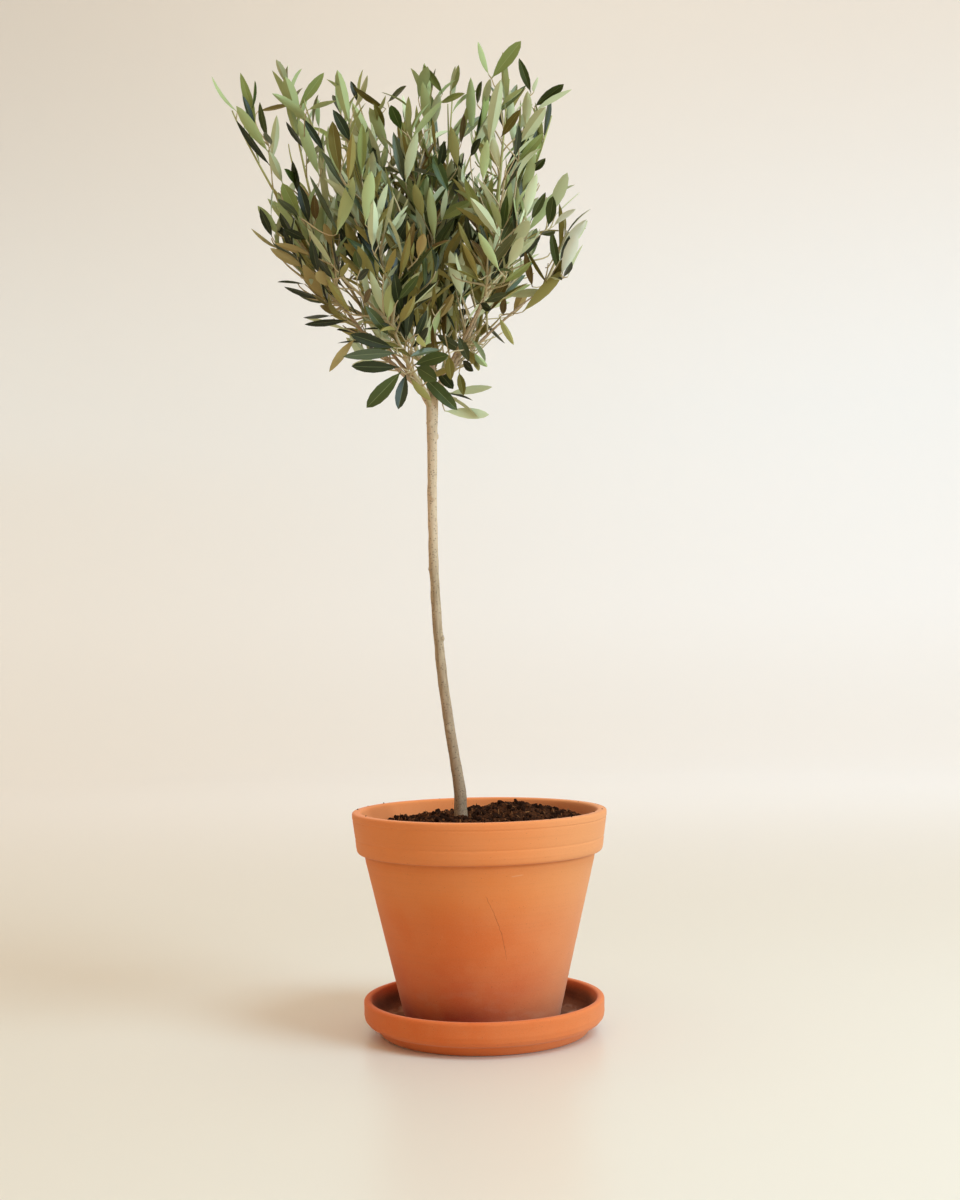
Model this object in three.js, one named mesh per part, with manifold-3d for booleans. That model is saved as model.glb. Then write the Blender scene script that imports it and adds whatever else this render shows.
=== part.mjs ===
// Young olive tree grown as a half standard, in a terracotta pot that stands on its saucer.
// Millimetres, +Z up. The origin is on the pot's axis, on the saucer's flat underside.
// +X is to the viewer's right and +Y away from the viewer. Bearings turn from +X towards +Y.

import * as THREE from 'three';
import { mergeVertices } from 'three/addons/utils/BufferGeometryUtils.js';
import Module from 'manifold-3d';

// ---- driving dimensions -----------------------------------------------------------------

const FIT_GAP = 0.3; // air left between two neighbouring solids
const CUT_GAP = 0.4; // how much a solid is swelled before it cuts its neighbour

// Saucer
const SAUCER_FOOT_RADIUS = 105.5; // flat underside
const SAUCER_STEP_RADIUS = 112.5; // shoulder over the foot
const SAUCER_STEP_HEIGHT = 11;
const SAUCER_RADIUS = 127;
const SAUCER_HEIGHT = 36.6;
const SAUCER_WALL = 8;
const SAUCER_FLOOR = 9.6;
const SAUCER_OFFSET = 2.3; // the pot stands this much left of the saucer's middle

// Pot
const POT_RIM_RADIUS = 135; // half of the trade size, 27 cm across the rim
const POT_TOP = 233;
const POT_BASE_HEIGHT = SAUCER_FLOOR + FIT_GAP;
const POT_BASE_RADIUS = 80;
const POT_NECK_RADIUS = 121.5; // body just under the band
const BAND_HEIGHT = 43;
const BAND_FOOT_RADIUS = 130;
const POT_LIP = 10; // thickness of the rim's top edge
const POT_WALL = 9.5;
const POT_FLOOR = 12;
const EDGE_ROUND = 3; // softened edges of pot and saucer
const TURNED_SEGMENTS = 36;

// Soil
const SOIL_SEGMENTS = 28;
const SOIL_RINGS = [0.14, 0.42, 0.72, 1]; // from the trunk's foot out to the pot's wall
const SOIL_LEVEL = 226; // where the trunk is cut
const SOIL_EDGE_LEVEL = 216.5; // mean level against the wall
const SOIL_EDGE_SWAY = 5; // how much higher the right back edge lies than the left one
const SOIL_EDGE_BEARING = 40;
const SOIL_MOUND = 9; // heap of crumbs at the right back of the trunk
const SOIL_MOUND_X = 38;
const SOIL_MOUND_Y = 34;
const SOIL_MOUND_RADIUS = 38;

// Trunk
const TRUNK_SEGMENTS = 10;
const TRUNK_RINGS = 14;
const TRUNK_TOP = 682.5; // fork
const TRUNK_BOTTOM_RADIUS = 6.0;
const TRUNK_MIDDLE_RADIUS = 5.2;
const TRUNK_FLARE = 2.4; // added at soil level by the root flare
const TRUNK_FLARE_HEIGHT = 12;
const TRUNK_FORK_SWELL = 3.0; // added at the fork
const TRUNK_FORK_SWELL_HEIGHT = 26;
// Sideways place of the trunk's middle line at evenly spaced heights, soil to fork
const TRUNK_LEAN = [-15.8, -27.3, -37.4, -42.7, -44.8, -44.2, -43];

// Leafy head
const HEAD_X = -43; // the head's own axis stands on the fork
const HEAD_Y = 0;
const BOUGH_SEGMENTS = 6;
const BOUGH_RINGS = 4;
const MASS_SEGMENTS = 6;
const MASS_RINGS = 5;
const ENTRY = 9; // how far a bough's tip reaches into its masses

// Each bough: where it leaves the fork, the bearing and reach of its tip, its tip's height,
// its radius at foot and tip, and how far out and how far up its elbow lies.
// Each of its foliage masses: the bearing, reach and height of its tip, its half width and
// half depth at its belly, and how far along it the belly lies. A mass starts at the tip of
// its bough, or at the part of its length that `along` gives.
const BOUGHS = [
  {
    name: 'centre', from: 677, bearing: 316, reach: 6, top: 759,
    foot: 6.2, tip: 3.8, out: 0.2, up: 0.5,
    masses: [
      { name: 'centre_top', bearing: 55, reach: 2, top: 1037, wide: 38, deep: 38, belly: 0.45 },
      { name: 'centre_left', bearing: 169, reach: 93, top: 1032, wide: 42, deep: 36, belly: 0.55 },
      { name: 'centre_front', bearing: 248, reach: 67, top: 990, wide: 44, deep: 38, belly: 0.5 },
      { name: 'centre_back', bearing: 62, reach: 61, top: 1045, wide: 40, deep: 38, belly: 0.55 },
    ],
  },
  {
    name: 'right', from: 675, bearing: 352, reach: 54, top: 768,
    foot: 5.0, tip: 3.0, out: 0.6, up: 0.4,
    masses: [
      { name: 'right_crest', bearing: 350, reach: 99, top: 1047, wide: 36, deep: 36, belly: 0.55 },
      { name: 'right_high', bearing: 8, reach: 152, top: 1012, wide: 38, deep: 32, belly: 0.58 },
      { name: 'right_middle', bearing: 354, reach: 150, top: 912, wide: 40, deep: 36, belly: 0.5 },
      { name: 'right_under', bearing: 338, reach: 94, top: 719, wide: 26, deep: 18, belly: 0.5, along: 0.55 },
    ],
  },
  {
    name: 'left', from: 673, bearing: 187, reach: 94, top: 770,
    foot: 5.4, tip: 3.0, out: 0.62, up: 0.44,
    masses: [
      { name: 'left_far', bearing: 183, reach: 230, top: 1012, wide: 24, deep: 25, belly: 0.66 },
      { name: 'left_crest', bearing: 165, reach: 173, top: 1057, wide: 30, deep: 28, belly: 0.58 },
      { name: 'left_middle', bearing: 190, reach: 176, top: 893, wide: 42, deep: 32, belly: 0.55 },
      { name: 'left_low', bearing: 186, reach: 188, top: 837, wide: 40, deep: 26, belly: 0.5 },
      { name: 'left_under', bearing: 181, reach: 144, top: 752, wide: 26, deep: 14, belly: 0.55 },
    ],
  },
  {
    name: 'middle_left', from: 679, bearing: 236, reach: 70, top: 772,
    foot: 4.0, tip: 2.5, out: 0.4, up: 0.5,
    masses: [
      { name: 'front_left_crest', bearing: 211, reach: 122, top: 1000, wide: 36, deep: 32, belly: 0.58 },
      { name: 'front_left_high', bearing: 240, reach: 156, top: 909, wide: 38, deep: 34, belly: 0.55 },
    ],
  },
  {
    name: 'front_left', from: 671, bearing: 246, reach: 92, top: 733,
    foot: 4.6, tip: 2.2, out: 0.5, up: 0.22,
    masses: [
      { name: 'front_left_low', bearing: 222, reach: 165, top: 818, wide: 38, deep: 30, belly: 0.5 },
      { name: 'front_middle', bearing: 264, reach: 162, top: 831, wide: 40, deep: 32, belly: 0.5 },
      { name: 'front_rosette', bearing: 251, reach: 147, top: 657, wide: 64, deep: 34, belly: 0.5 },
    ],
  },
  {
    name: 'front_right', from: 677, bearing: 314, reach: 84, top: 769,
    foot: 4.6, tip: 2.6, out: 0.5, up: 0.42,
    masses: [
      { name: 'front_right_crest', bearing: 317, reach: 127, top: 992, wide: 36, deep: 32, belly: 0.55 },
      { name: 'front_right_high', bearing: 302, reach: 163, top: 914, wide: 38, deep: 34, belly: 0.55 },
      { name: 'front_right_low', bearing: 294, reach: 164, top: 811, wide: 40, deep: 30, belly: 0.5 },
    ],
  },
  {
    name: 'low_right', from: 680, bearing: 6, reach: 121, top: 790,
    foot: 3.6, tip: 2.0, out: 0.6, up: 0.7,
    masses: [
      { name: 'right_far', bearing: 358, reach: 165, top: 883, wide: 32, deep: 20, belly: 0.5 },
      { name: 'right_low', bearing: 340, reach: 156, top: 812, wide: 30, deep: 20, belly: 0.5 },
    ],
  },
  {
    name: 'back_right', from: 672, bearing: 48, reach: 74, top: 765,
    foot: 4.6, tip: 2.6, out: 0.55, up: 0.4,
    masses: [
      { name: 'back_right_high', bearing: 40, reach: 150, top: 990, wide: 42, deep: 36, belly: 0.55 },
      { name: 'back_right_middle', bearing: 50, reach: 175, top: 888, wide: 46, deep: 36, belly: 0.5 },
    ],
  },
  {
    name: 'back', from: 678, bearing: 99, reach: 68, top: 772,
    foot: 4.4, tip: 2.6, out: 0.5, up: 0.4,
    masses: [
      { name: 'back_crest', bearing: 85, reach: 142, top: 1035, wide: 42, deep: 36, belly: 0.58 },
      { name: 'back_middle', bearing: 93, reach: 184, top: 949, wide: 42, deep: 34, belly: 0.55 },
      { name: 'back_low', bearing: 105, reach: 159, top: 826, wide: 46, deep: 30, belly: 0.5 },
    ],
  },
  {
    name: 'back_left', from: 674, bearing: 149, reach: 82, top: 767,
    foot: 4.8, tip: 2.8, out: 0.55, up: 0.4,
    masses: [
      { name: 'back_left_crest', bearing: 134, reach: 157, top: 1039, wide: 38, deep: 34, belly: 0.58 },
      { name: 'back_left_middle', bearing: 142, reach: 196, top: 931, wide: 42, deep: 34, belly: 0.55 },
      { name: 'back_left_low', bearing: 153, reach: 171, top: 822, wide: 42, deep: 28, belly: 0.5 },
    ],
  },
];

// Loose tuft under the fork on the right, straight off the trunk
const TUFT = { name: 'low_right_tuft', bearing: 4, reach: 63, top: 661, wide: 20, deep: 15, belly: 0.6 };
const TUFT_FOOT = new THREE.Vector3(HEAD_X + 4, HEAD_Y, TRUNK_TOP - 2);

// Shape of every mass: a spindle whose surface is made uneven by two waves that wander round it
const MASS_FOOT = 0.42; // width of a mass's foot and point, as parts of its belly
const MASS_POINT = 0.16;
const MASS_RISING = 0.62; // how far up and how far out its elbow lies
const MASS_SPREADING = 0.42;
const LUMP_LOW = 0.13;
const LUMP_HIGH = 0.08;
const LUMP_LOW_WAVES = 2;
const LUMP_HIGH_WAVES = 3;
const LUMP_TWIST = 4.4;
const ROW_PHASE = 2.4; // phase between one mass and the next

// ---- finishes ---------------------------------------------------------------------------

function finish(color, roughness) {
  return new THREE.MeshStandardMaterial({ color, roughness, metalness: 0 });
}

const TERRACOTTA = finish(0xc9804f, 0.85);
const SAUCER_CLAY = finish(0xc4713f, 0.85);
const SOIL = finish(0x3a2a20, 0.98);
const BARK = finish(0xa38a74, 0.9);
const LEAF_TONES = [0x5f7347, 0x6d7f52, 0x55683f, 0x7b8a66].map((tone) => finish(tone, 0.7));

// ---- joining and cutting ----------------------------------------------------------------

const wasm = await Module();
wasm.setup();

function toSolid(geometry) {
  const bare = geometry.clone();
  bare.deleteAttribute('normal');
  bare.deleteAttribute('uv');
  const merged = mergeVertices(bare, 1e-4);
  return new wasm.Manifold(new wasm.Mesh({
    numProp: 3,
    vertProperties: Float32Array.from(merged.attributes.position.array),
    triVerts: Uint32Array.from(merged.index.array),
  }));
}

function toGeometry(solid) {
  const { vertProperties, triVerts } = solid.getMesh();
  const geometry = new THREE.BufferGeometry();
  geometry.setAttribute('position', new THREE.Float32BufferAttribute(vertProperties, 3));
  geometry.setIndex(Array.from(triVerts));
  geometry.computeVertexNormals();
  return geometry;
}

function largestBody(solid) {
  return solid.decompose().reduce((best, body) => (body.volume() > best.volume() ? body : best));
}

// A solid without what the swelled neighbours take from it, as its one largest body
function cutBy(solid, swelled) {
  return largestBody(swelled.reduce((rest, neighbour) => rest.subtract(neighbour), solid));
}

// ---- closed bodies from rings -----------------------------------------------------------

// Joins rings of points, each turning the same way about the line of rings, and closes both ends
function skin(rings) {
  const count = rings[0].length;
  const positions = [];
  const index = [];
  const push = (point) => {
    positions.push(point.x, point.y, point.z);
    return positions.length / 3 - 1;
  };
  const centre = (ring) => ring
    .reduce((sum, point) => sum.add(point), new THREE.Vector3())
    .divideScalar(count);
  const numbered = rings.map((ring) => ring.map(push));
  for (let row = 0; row + 1 < rings.length; row += 1) {
    for (let k = 0; k < count; k += 1) {
      const next = (k + 1) % count;
      const [a, b] = [numbered[row][k], numbered[row][next]];
      const [c, d] = [numbered[row + 1][next], numbered[row + 1][k]];
      index.push(a, b, c, a, c, d);
    }
  }
  const first = push(centre(rings[0]));
  const last = push(centre(rings[rings.length - 1]));
  const top = numbered[rings.length - 1];
  for (let k = 0; k < count; k += 1) {
    const next = (k + 1) % count;
    index.push(first, numbered[0][next], numbered[0][k]);
    index.push(last, top[k], top[next]);
  }
  const geometry = new THREE.BufferGeometry();
  geometry.setAttribute('position', new THREE.Float32BufferAttribute(positions, 3));
  geometry.setIndex(index);
  geometry.computeVertexNormals();
  return geometry;
}

// A body along a curve; radiusAt gives the half width and half depth at a place and a turn
function alongCurve(curve, rows, segments, widthAxis, radiusAt, extra) {
  const rings = [];
  for (let row = 0; row <= rows; row += 1) {
    const t = row / rows;
    const tangent = curve.getTangent(t);
    const middle = curve.getPoint(t);
    if (row === 0) middle.addScaledVector(tangent, -extra);
    if (row === rows) middle.addScaledVector(tangent, extra);
    const across = widthAxis.clone().addScaledVector(tangent, -widthAxis.dot(tangent)).normalize();
    const through = new THREE.Vector3().crossVectors(tangent, across);
    const ring = [];
    for (let k = 0; k < segments; k += 1) {
      const turn = (k / segments) * 2 * Math.PI;
      const { wide, deep } = radiusAt(t, turn);
      ring.push(middle.clone()
        .addScaledVector(across, (wide + extra) * Math.cos(turn))
        .addScaledVector(through, (deep + extra) * Math.sin(turn)));
    }
    rings.push(ring);
  }
  return skin(rings);
}

function atBearing(bearing, reach, height) {
  const angle = THREE.MathUtils.degToRad(bearing);
  return new THREE.Vector3(
    HEAD_X + reach * Math.cos(angle),
    HEAD_Y + reach * Math.sin(angle),
    height,
  );
}

function acrossBearing(bearing) {
  const angle = THREE.MathUtils.degToRad(bearing);
  return new THREE.Vector3(-Math.sin(angle), Math.cos(angle), 0);
}

// ---- pot, saucer and soil ---------------------------------------------------------------

// A body turned about the vertical axis, from an outline that runs up the outside
function turned(outline) {
  const points = outline.map(([radius, height]) => new THREE.Vector2(radius, height));
  const geometry = new THREE.LatheGeometry(points, TURNED_SEGMENTS);
  geometry.rotateX(Math.PI / 2);
  return geometry;
}

function saucerGeometry() {
  const innerLip = SAUCER_RADIUS - SAUCER_WALL;
  return turned([
    [0, 0],
    [SAUCER_FOOT_RADIUS, 0],
    [SAUCER_STEP_RADIUS - 1, SAUCER_STEP_HEIGHT / 2],
    [SAUCER_STEP_RADIUS, SAUCER_STEP_HEIGHT],
    [SAUCER_RADIUS - 2, SAUCER_STEP_HEIGHT + EDGE_ROUND],
    [SAUCER_RADIUS, SAUCER_STEP_HEIGHT + 2 * EDGE_ROUND],
    [SAUCER_RADIUS, SAUCER_HEIGHT - EDGE_ROUND],
    [SAUCER_RADIUS - EDGE_ROUND, SAUCER_HEIGHT],
    [innerLip + 1, SAUCER_HEIGHT - 1],
    [innerLip - EDGE_ROUND, SAUCER_FLOOR + 2 * EDGE_ROUND],
    [innerLip - 3 * EDGE_ROUND, SAUCER_FLOOR],
    [0, SAUCER_FLOOR],
  ]);
}

const BAND_FOOT = POT_TOP - BAND_HEIGHT;
const INNER_NECK_RADIUS = POT_NECK_RADIUS - POT_WALL;
const INNER_FLOOR = POT_BASE_HEIGHT + POT_FLOOR;
const INNER_LIP_RADIUS = POT_RIM_RADIUS - POT_LIP;
const INNER_FLOOR_RADIUS = POT_BASE_RADIUS - 7;

// Radius of the pot's inside at a height
function innerRadius(height) {
  const body = (height - INNER_FLOOR) / (BAND_FOOT - INNER_FLOOR);
  if (height <= BAND_FOOT) return THREE.MathUtils.lerp(INNER_FLOOR_RADIUS, INNER_NECK_RADIUS, body);
  return THREE.MathUtils.mapLinear(height, BAND_FOOT, POT_TOP, INNER_NECK_RADIUS, INNER_LIP_RADIUS);
}

function potGeometry() {
  return turned([
    [0, POT_BASE_HEIGHT],
    [POT_BASE_RADIUS - 1, POT_BASE_HEIGHT],
    [POT_BASE_RADIUS + 1, POT_BASE_HEIGHT + EDGE_ROUND],
    [POT_NECK_RADIUS, BAND_FOOT - 1],
    [BAND_FOOT_RADIUS - EDGE_ROUND, BAND_FOOT],
    [BAND_FOOT_RADIUS, BAND_FOOT + EDGE_ROUND],
    [POT_RIM_RADIUS, POT_TOP - EDGE_ROUND],
    [POT_RIM_RADIUS - EDGE_ROUND, POT_TOP],
    [INNER_LIP_RADIUS + 1, POT_TOP],
    [INNER_LIP_RADIUS, POT_TOP - 1],
    [innerRadius(BAND_FOOT), BAND_FOOT],
    [innerRadius(INNER_FLOOR), INNER_FLOOR],
    [0, INNER_FLOOR],
  ]);
}

const TRUNK_FOOT = new THREE.Vector3(TRUNK_LEAN[0], 0, SOIL_LEVEL);

// Level of the soil at a place: the edge sways round the wall and crumbs are heaped behind
function soilLevel(x, y, outward) {
  const lean = Math.cos(Math.atan2(y, x) - THREE.MathUtils.degToRad(SOIL_EDGE_BEARING));
  const edge = SOIL_EDGE_LEVEL + SOIL_EDGE_SWAY * lean;
  const away = Math.hypot(x - SOIL_MOUND_X, y - SOIL_MOUND_Y) / SOIL_MOUND_RADIUS;
  const fall = THREE.MathUtils.smoothstep(outward, SOIL_RINGS[0], 1);
  return THREE.MathUtils.lerp(SOIL_LEVEL - FIT_GAP, edge, fall) + SOIL_MOUND * Math.exp(-away * away)
    * THREE.MathUtils.smoothstep(outward, SOIL_RINGS[0], SOIL_RINGS[1]);
}

function soilRing(heightAt, outward, centre, radiusAt) {
  const ring = [];
  for (let k = 0; k < SOIL_SEGMENTS; k += 1) {
    const turn = (k / SOIL_SEGMENTS) * 2 * Math.PI;
    const wall = new THREE.Vector3(Math.cos(turn), Math.sin(turn), 0).multiplyScalar(radiusAt);
    const place = new THREE.Vector3().lerpVectors(centre, wall, outward);
    place.z = heightAt(place.x, place.y, outward);
    ring.push(place);
  }
  return ring;
}

function soilGeometry() {
  const axis = new THREE.Vector3();
  const footOnFloor = TRUNK_FOOT.clone().setZ(0);
  const bottom = INNER_FLOOR + FIT_GAP;
  const wallGap = 3 * FIT_GAP;
  const sideHeights = [bottom, BAND_FOOT];
  const sides = sideHeights.map((height) => (
    soilRing(() => height, 1, axis, innerRadius(height) - wallGap)
  ));
  const rim = innerRadius(SOIL_EDGE_LEVEL - SOIL_EDGE_SWAY) - wallGap;
  const top = [...SOIL_RINGS].reverse().map((outward) => (
    soilRing(soilLevel, outward, footOnFloor, rim)
  ));
  return skin([...sides, ...top]);
}

// ---- trunk and boughs -------------------------------------------------------------------

function trunkCurve() {
  const rise = (TRUNK_TOP - SOIL_LEVEL) / (TRUNK_LEAN.length - 1);
  return new THREE.CatmullRomCurve3(TRUNK_LEAN.map((x, k) => (
    new THREE.Vector3(x, 0, SOIL_LEVEL + k * rise)
  )));
}

function trunkRadius(t) {
  const aboveSoil = t * (TRUNK_TOP - SOIL_LEVEL);
  const belowFork = TRUNK_TOP - SOIL_LEVEL - aboveSoil;
  return THREE.MathUtils.lerp(TRUNK_BOTTOM_RADIUS, TRUNK_MIDDLE_RADIUS, Math.min(1, 2 * t))
    + TRUNK_FLARE * Math.exp(-aboveSoil / TRUNK_FLARE_HEIGHT)
    + TRUNK_FORK_SWELL * Math.exp(-belowFork / TRUNK_FORK_SWELL_HEIGHT);
}

// The flat cut at the soil stays level, so the lowest ring is laid flat
function trunkGeometry(extra) {
  const across = new THREE.Vector3(1, 0, 0);
  const radiusAt = (t) => ({ wide: trunkRadius(t), deep: trunkRadius(t) });
  const geometry = alongCurve(trunkCurve(), TRUNK_RINGS, TRUNK_SEGMENTS, across, radiusAt, extra);
  const place = geometry.attributes.position;
  const levelled = [...Array(TRUNK_SEGMENTS).keys(), TRUNK_SEGMENTS * (TRUNK_RINGS + 1)];
  levelled.forEach((vertex) => place.setZ(vertex, SOIL_LEVEL - extra));
  return geometry;
}

function boughCurve({ from, bearing, reach, top, out, up }) {
  const start = new THREE.Vector3(HEAD_X, HEAD_Y, from);
  const elbow = atBearing(bearing, reach * out, THREE.MathUtils.lerp(from, top, up));
  return new THREE.QuadraticBezierCurve3(start, elbow, atBearing(bearing, reach, top));
}

function boughGeometry(bough, extra) {
  const radiusAt = (t) => {
    const radius = THREE.MathUtils.lerp(bough.foot, bough.tip, t);
    return { wide: radius, deep: radius };
  };
  const across = acrossBearing(bough.bearing);
  return alongCurve(boughCurve(bough), BOUGH_RINGS, BOUGH_SEGMENTS, across, radiusAt, extra);
}

// ---- foliage masses ---------------------------------------------------------------------

// A mass starts just behind its place on the bough, so that the bough's end enters it
function massFoot(bough, along = 1) {
  const curve = boughCurve(bough);
  return curve.getPoint(along - ENTRY / curve.getLength());
}

// The middle line rises first and spreads later, as the shoots do
function massCurve(mass, start) {
  const end = atBearing(mass.bearing, mass.reach, mass.top);
  const elbow = new THREE.Vector3(
    THREE.MathUtils.lerp(start.x, end.x, MASS_SPREADING),
    THREE.MathUtils.lerp(start.y, end.y, MASS_SPREADING),
    THREE.MathUtils.lerp(start.z, end.z, MASS_RISING),
  );
  return new THREE.QuadraticBezierCurve3(start, elbow, end);
}

// Full at the belly, pointed at the tip and blunt at the foot
function spindle(t, belly) {
  const filling = Math.sin((Math.min(t / belly, 1) * Math.PI) / 2);
  const narrowing = Math.cos((Math.max((t - belly) / (1 - belly), 0) * Math.PI) / 2);
  return THREE.MathUtils.lerp(MASS_FOOT, 1, filling) * THREE.MathUtils.lerp(MASS_POINT, 1, narrowing);
}

function massGeometry(mass, start, row, extra) {
  const phase = row * ROW_PHASE;
  const radiusAt = (t, turn) => {
    const lump = 1
      + LUMP_LOW * Math.sin(LUMP_LOW_WAVES * turn + phase + LUMP_TWIST * t)
      + LUMP_HIGH * Math.sin(LUMP_HIGH_WAVES * turn - 2 * phase + LUMP_TWIST * t);
    const full = spindle(t, mass.belly) * lump;
    return { wide: mass.wide * full, deep: mass.deep * full };
  };
  const across = acrossBearing(mass.bearing);
  return alongCurve(massCurve(mass, start), MASS_RINGS, MASS_SEGMENTS, across, radiusAt, extra);
}

// ---- assembly ---------------------------------------------------------------------------

const tree = new THREE.Group();

function addMesh(name, geometry, material) {
  const mesh = new THREE.Mesh(geometry, material);
  mesh.name = name;
  tree.add(mesh);
}

addMesh('saucer', saucerGeometry().translate(SAUCER_OFFSET, 0, 0), SAUCER_CLAY);
addMesh('pot', potGeometry(), TERRACOTTA);
addMesh('soil', soilGeometry(), SOIL);
addMesh('trunk', trunkGeometry(0), BARK);

const taken = [toSolid(trunkGeometry(CUT_GAP))];

BOUGHS.forEach((bough) => {
  const cut = cutBy(toSolid(boughGeometry(bough, 0)), taken);
  taken.push(toSolid(boughGeometry(bough, CUT_GAP)));
  addMesh(`bough_${bough.name}`, toGeometry(cut), BARK);
});

const massRows = BOUGHS.flatMap((bough) => (
  bough.masses.map((mass) => ({ mass, start: massFoot(bough, mass.along) }))
));
massRows.push({ mass: TUFT, start: TUFT_FOOT });
massRows.forEach(({ mass, start }, row) => {
  const cut = cutBy(toSolid(massGeometry(mass, start, row, 0)), taken);
  taken.push(toSolid(massGeometry(mass, start, row, CUT_GAP)));
  addMesh(`mass_${mass.name}`, toGeometry(cut), LEAF_TONES[row % LEAF_TONES.length]);
});

export default tree;
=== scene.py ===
"""Half standard olive tree in a clay pot on its saucer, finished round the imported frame."""

import math

import bmesh
import bpy
import numpy as np
from mathutils import Matrix, Vector, noise
from mathutils.bvhtree import BVHTree


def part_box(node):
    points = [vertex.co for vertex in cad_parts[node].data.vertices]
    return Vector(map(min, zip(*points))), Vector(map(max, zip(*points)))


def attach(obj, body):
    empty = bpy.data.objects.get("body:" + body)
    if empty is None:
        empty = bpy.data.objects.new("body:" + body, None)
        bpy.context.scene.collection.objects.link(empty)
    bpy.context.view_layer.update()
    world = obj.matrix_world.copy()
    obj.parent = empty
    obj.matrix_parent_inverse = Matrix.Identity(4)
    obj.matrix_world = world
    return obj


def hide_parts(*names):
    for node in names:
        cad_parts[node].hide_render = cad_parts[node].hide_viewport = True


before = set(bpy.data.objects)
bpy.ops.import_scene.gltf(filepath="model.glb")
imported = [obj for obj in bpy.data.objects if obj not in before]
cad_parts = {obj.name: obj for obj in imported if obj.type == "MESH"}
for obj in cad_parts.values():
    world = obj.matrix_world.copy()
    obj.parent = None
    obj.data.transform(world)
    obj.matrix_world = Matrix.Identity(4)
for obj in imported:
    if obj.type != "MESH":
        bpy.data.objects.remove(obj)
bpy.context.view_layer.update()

bl_info = {
    "name": "Potted olive tree",
    "version": (1, 0, 0),
    "blender": (4, 5, 0),
    "location": "View3D > Sidebar > Olive tree",
    "description": "Clay pot and saucer, soil, bark, twigs and leaves of a young olive tree",
    "category": "Add Mesh",
}

MM = 0.001
UP = np.array([0.0, 0.0, 1.0])

# ---- sizes that follow the frame, in metres ----------------------------------------------

BOUGH_MASSES = {
    "bough_centre": ["centre_top", "centre_left", "centre_front", "centre_back"],
    "bough_right": ["right_crest", "right_high", "right_middle", "right_under"],
    "bough_left": ["left_far", "left_crest", "left_middle", "left_low", "left_under"],
    "bough_middle_left": ["front_left_crest", "front_left_high"],
    "bough_front_left": ["front_left_low", "front_middle", "front_rosette"],
    "bough_front_right": ["front_right_crest", "front_right_high", "front_right_low"],
    "bough_low_right": ["right_far", "right_low"],
    "bough_back_right": ["back_right_high", "back_right_middle"],
    "bough_back": ["back_crest", "back_middle", "back_low"],
    "bough_back_left": ["back_left_crest", "back_left_middle", "back_left_low"],
}
TUFT = "low_right_tuft"  # grows straight off the trunk
TUFT_BOUGH = "bough_right"  # whose leaves the tuft's are joined with
ROSETTE_MASS = "front_rosette"  # has marked leaves only

POT_LOW, POT_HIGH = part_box("pot")
SAUCER_LOW, SAUCER_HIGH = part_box("saucer")
SOIL_LOW, SOIL_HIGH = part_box("soil")
TRUNK_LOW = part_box("trunk")[0]

RIM_RADIUS = POT_HIGH.x
POT_TOP = POT_HIGH.z
POT_BASE = POT_LOW.z
BAND_HEIGHT = 43 * MM
BAND_FOOT = POT_TOP - BAND_HEIGHT
BAND_FOOT_RADIUS = RIM_RADIUS - 5.0 * MM
NECK_RADIUS = RIM_RADIUS - 13.5 * MM
BASE_RADIUS = RIM_RADIUS - 54.8 * MM
SAUCER_RADIUS = (SAUCER_HIGH.x - SAUCER_LOW.x) / 2
SAUCER_MIDDLE = (SAUCER_HIGH.x + SAUCER_LOW.x) / 2
SAUCER_TOP = SAUCER_HIGH.z
SAUCER_FLOOR = POT_BASE - 0.3 * MM

# Camera that stands where the viewer does
CAMERA_PLACE = (4.5 * MM, -1711.4 * MM, 409.7 * MM)
CAMERA_TILT = 0.0266
CAMERA_ROLL = 0.0162
CAMERA_LENS = 48.18


def srgb(red, green, blue):
    """A colour given as 0 to 255 screen values, as linear light."""
    return tuple(
        c / 12.92 if c <= 0.04045 else ((c + 0.055) / 1.055) ** 2.4
        for c in (red / 255, green / 255, blue / 255)
    )


# ---- settings ----------------------------------------------------------------------------


def colour_property(name, description, default):
    return bpy.props.FloatVectorProperty(
        name=name, description=description, default=default, subtype="COLOR", size=3, min=0, max=1
    )


def number_property(name, description, default, unit="NONE"):
    return bpy.props.FloatProperty(
        name=name, description=description, default=default, unit=unit, min=0
    )


def length_property(name, description, default):
    return number_property(name, description, default, "LENGTH")


def seed_property(description, default):
    return bpy.props.IntProperty(name="Seed", description=description, default=default)


class OliveClaySettings(bpy.types.PropertyGroup):
    band: colour_property("Band", "Clay of the rim's band", srgb(227, 133, 73))
    body: colour_property("Body", "Clay just under the band", srgb(225, 128, 65))
    middle: colour_property("Middle", "Clay half-way down the body", srgb(217, 110, 53))
    low: colour_property("Low", "Clay that draws water up", srgb(208, 97, 52))
    damp: colour_property("Damp", "Damp clay at the foot", srgb(160, 46, 31))
    saucer: colour_property("Saucer", "Outside of the saucer", srgb(214, 104, 46))
    stain: colour_property("Stain", "Stained inside of the saucer", srgb(88, 44, 24))
    wobble: length_property(
        "Wobble", "How far the thrown wall strays from a true circle", 0.35 * MM
    )
    ridges: length_property("Ridges", "Height of the throwing ridges", 0.12 * MM)


class OliveSoilSettings(bpy.types.PropertyGroup):
    dark: colour_property("Dark", "Wet peat", srgb(40, 22, 13))
    brown: colour_property("Brown", "Dry peat", srgb(82, 48, 28))
    fibre: colour_property("Fibre", "Bark chips and root fibres", srgb(128, 84, 50))
    density: number_property("Density", "Crumbs on each square metre of soil", 52000)
    smallest: length_property("Smallest", "Smallest crumb", 1.1 * MM)
    largest: length_property("Largest", "Largest crumb", 4.2 * MM)
    seed: seed_property("Seed of the crumbs", 4)


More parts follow.
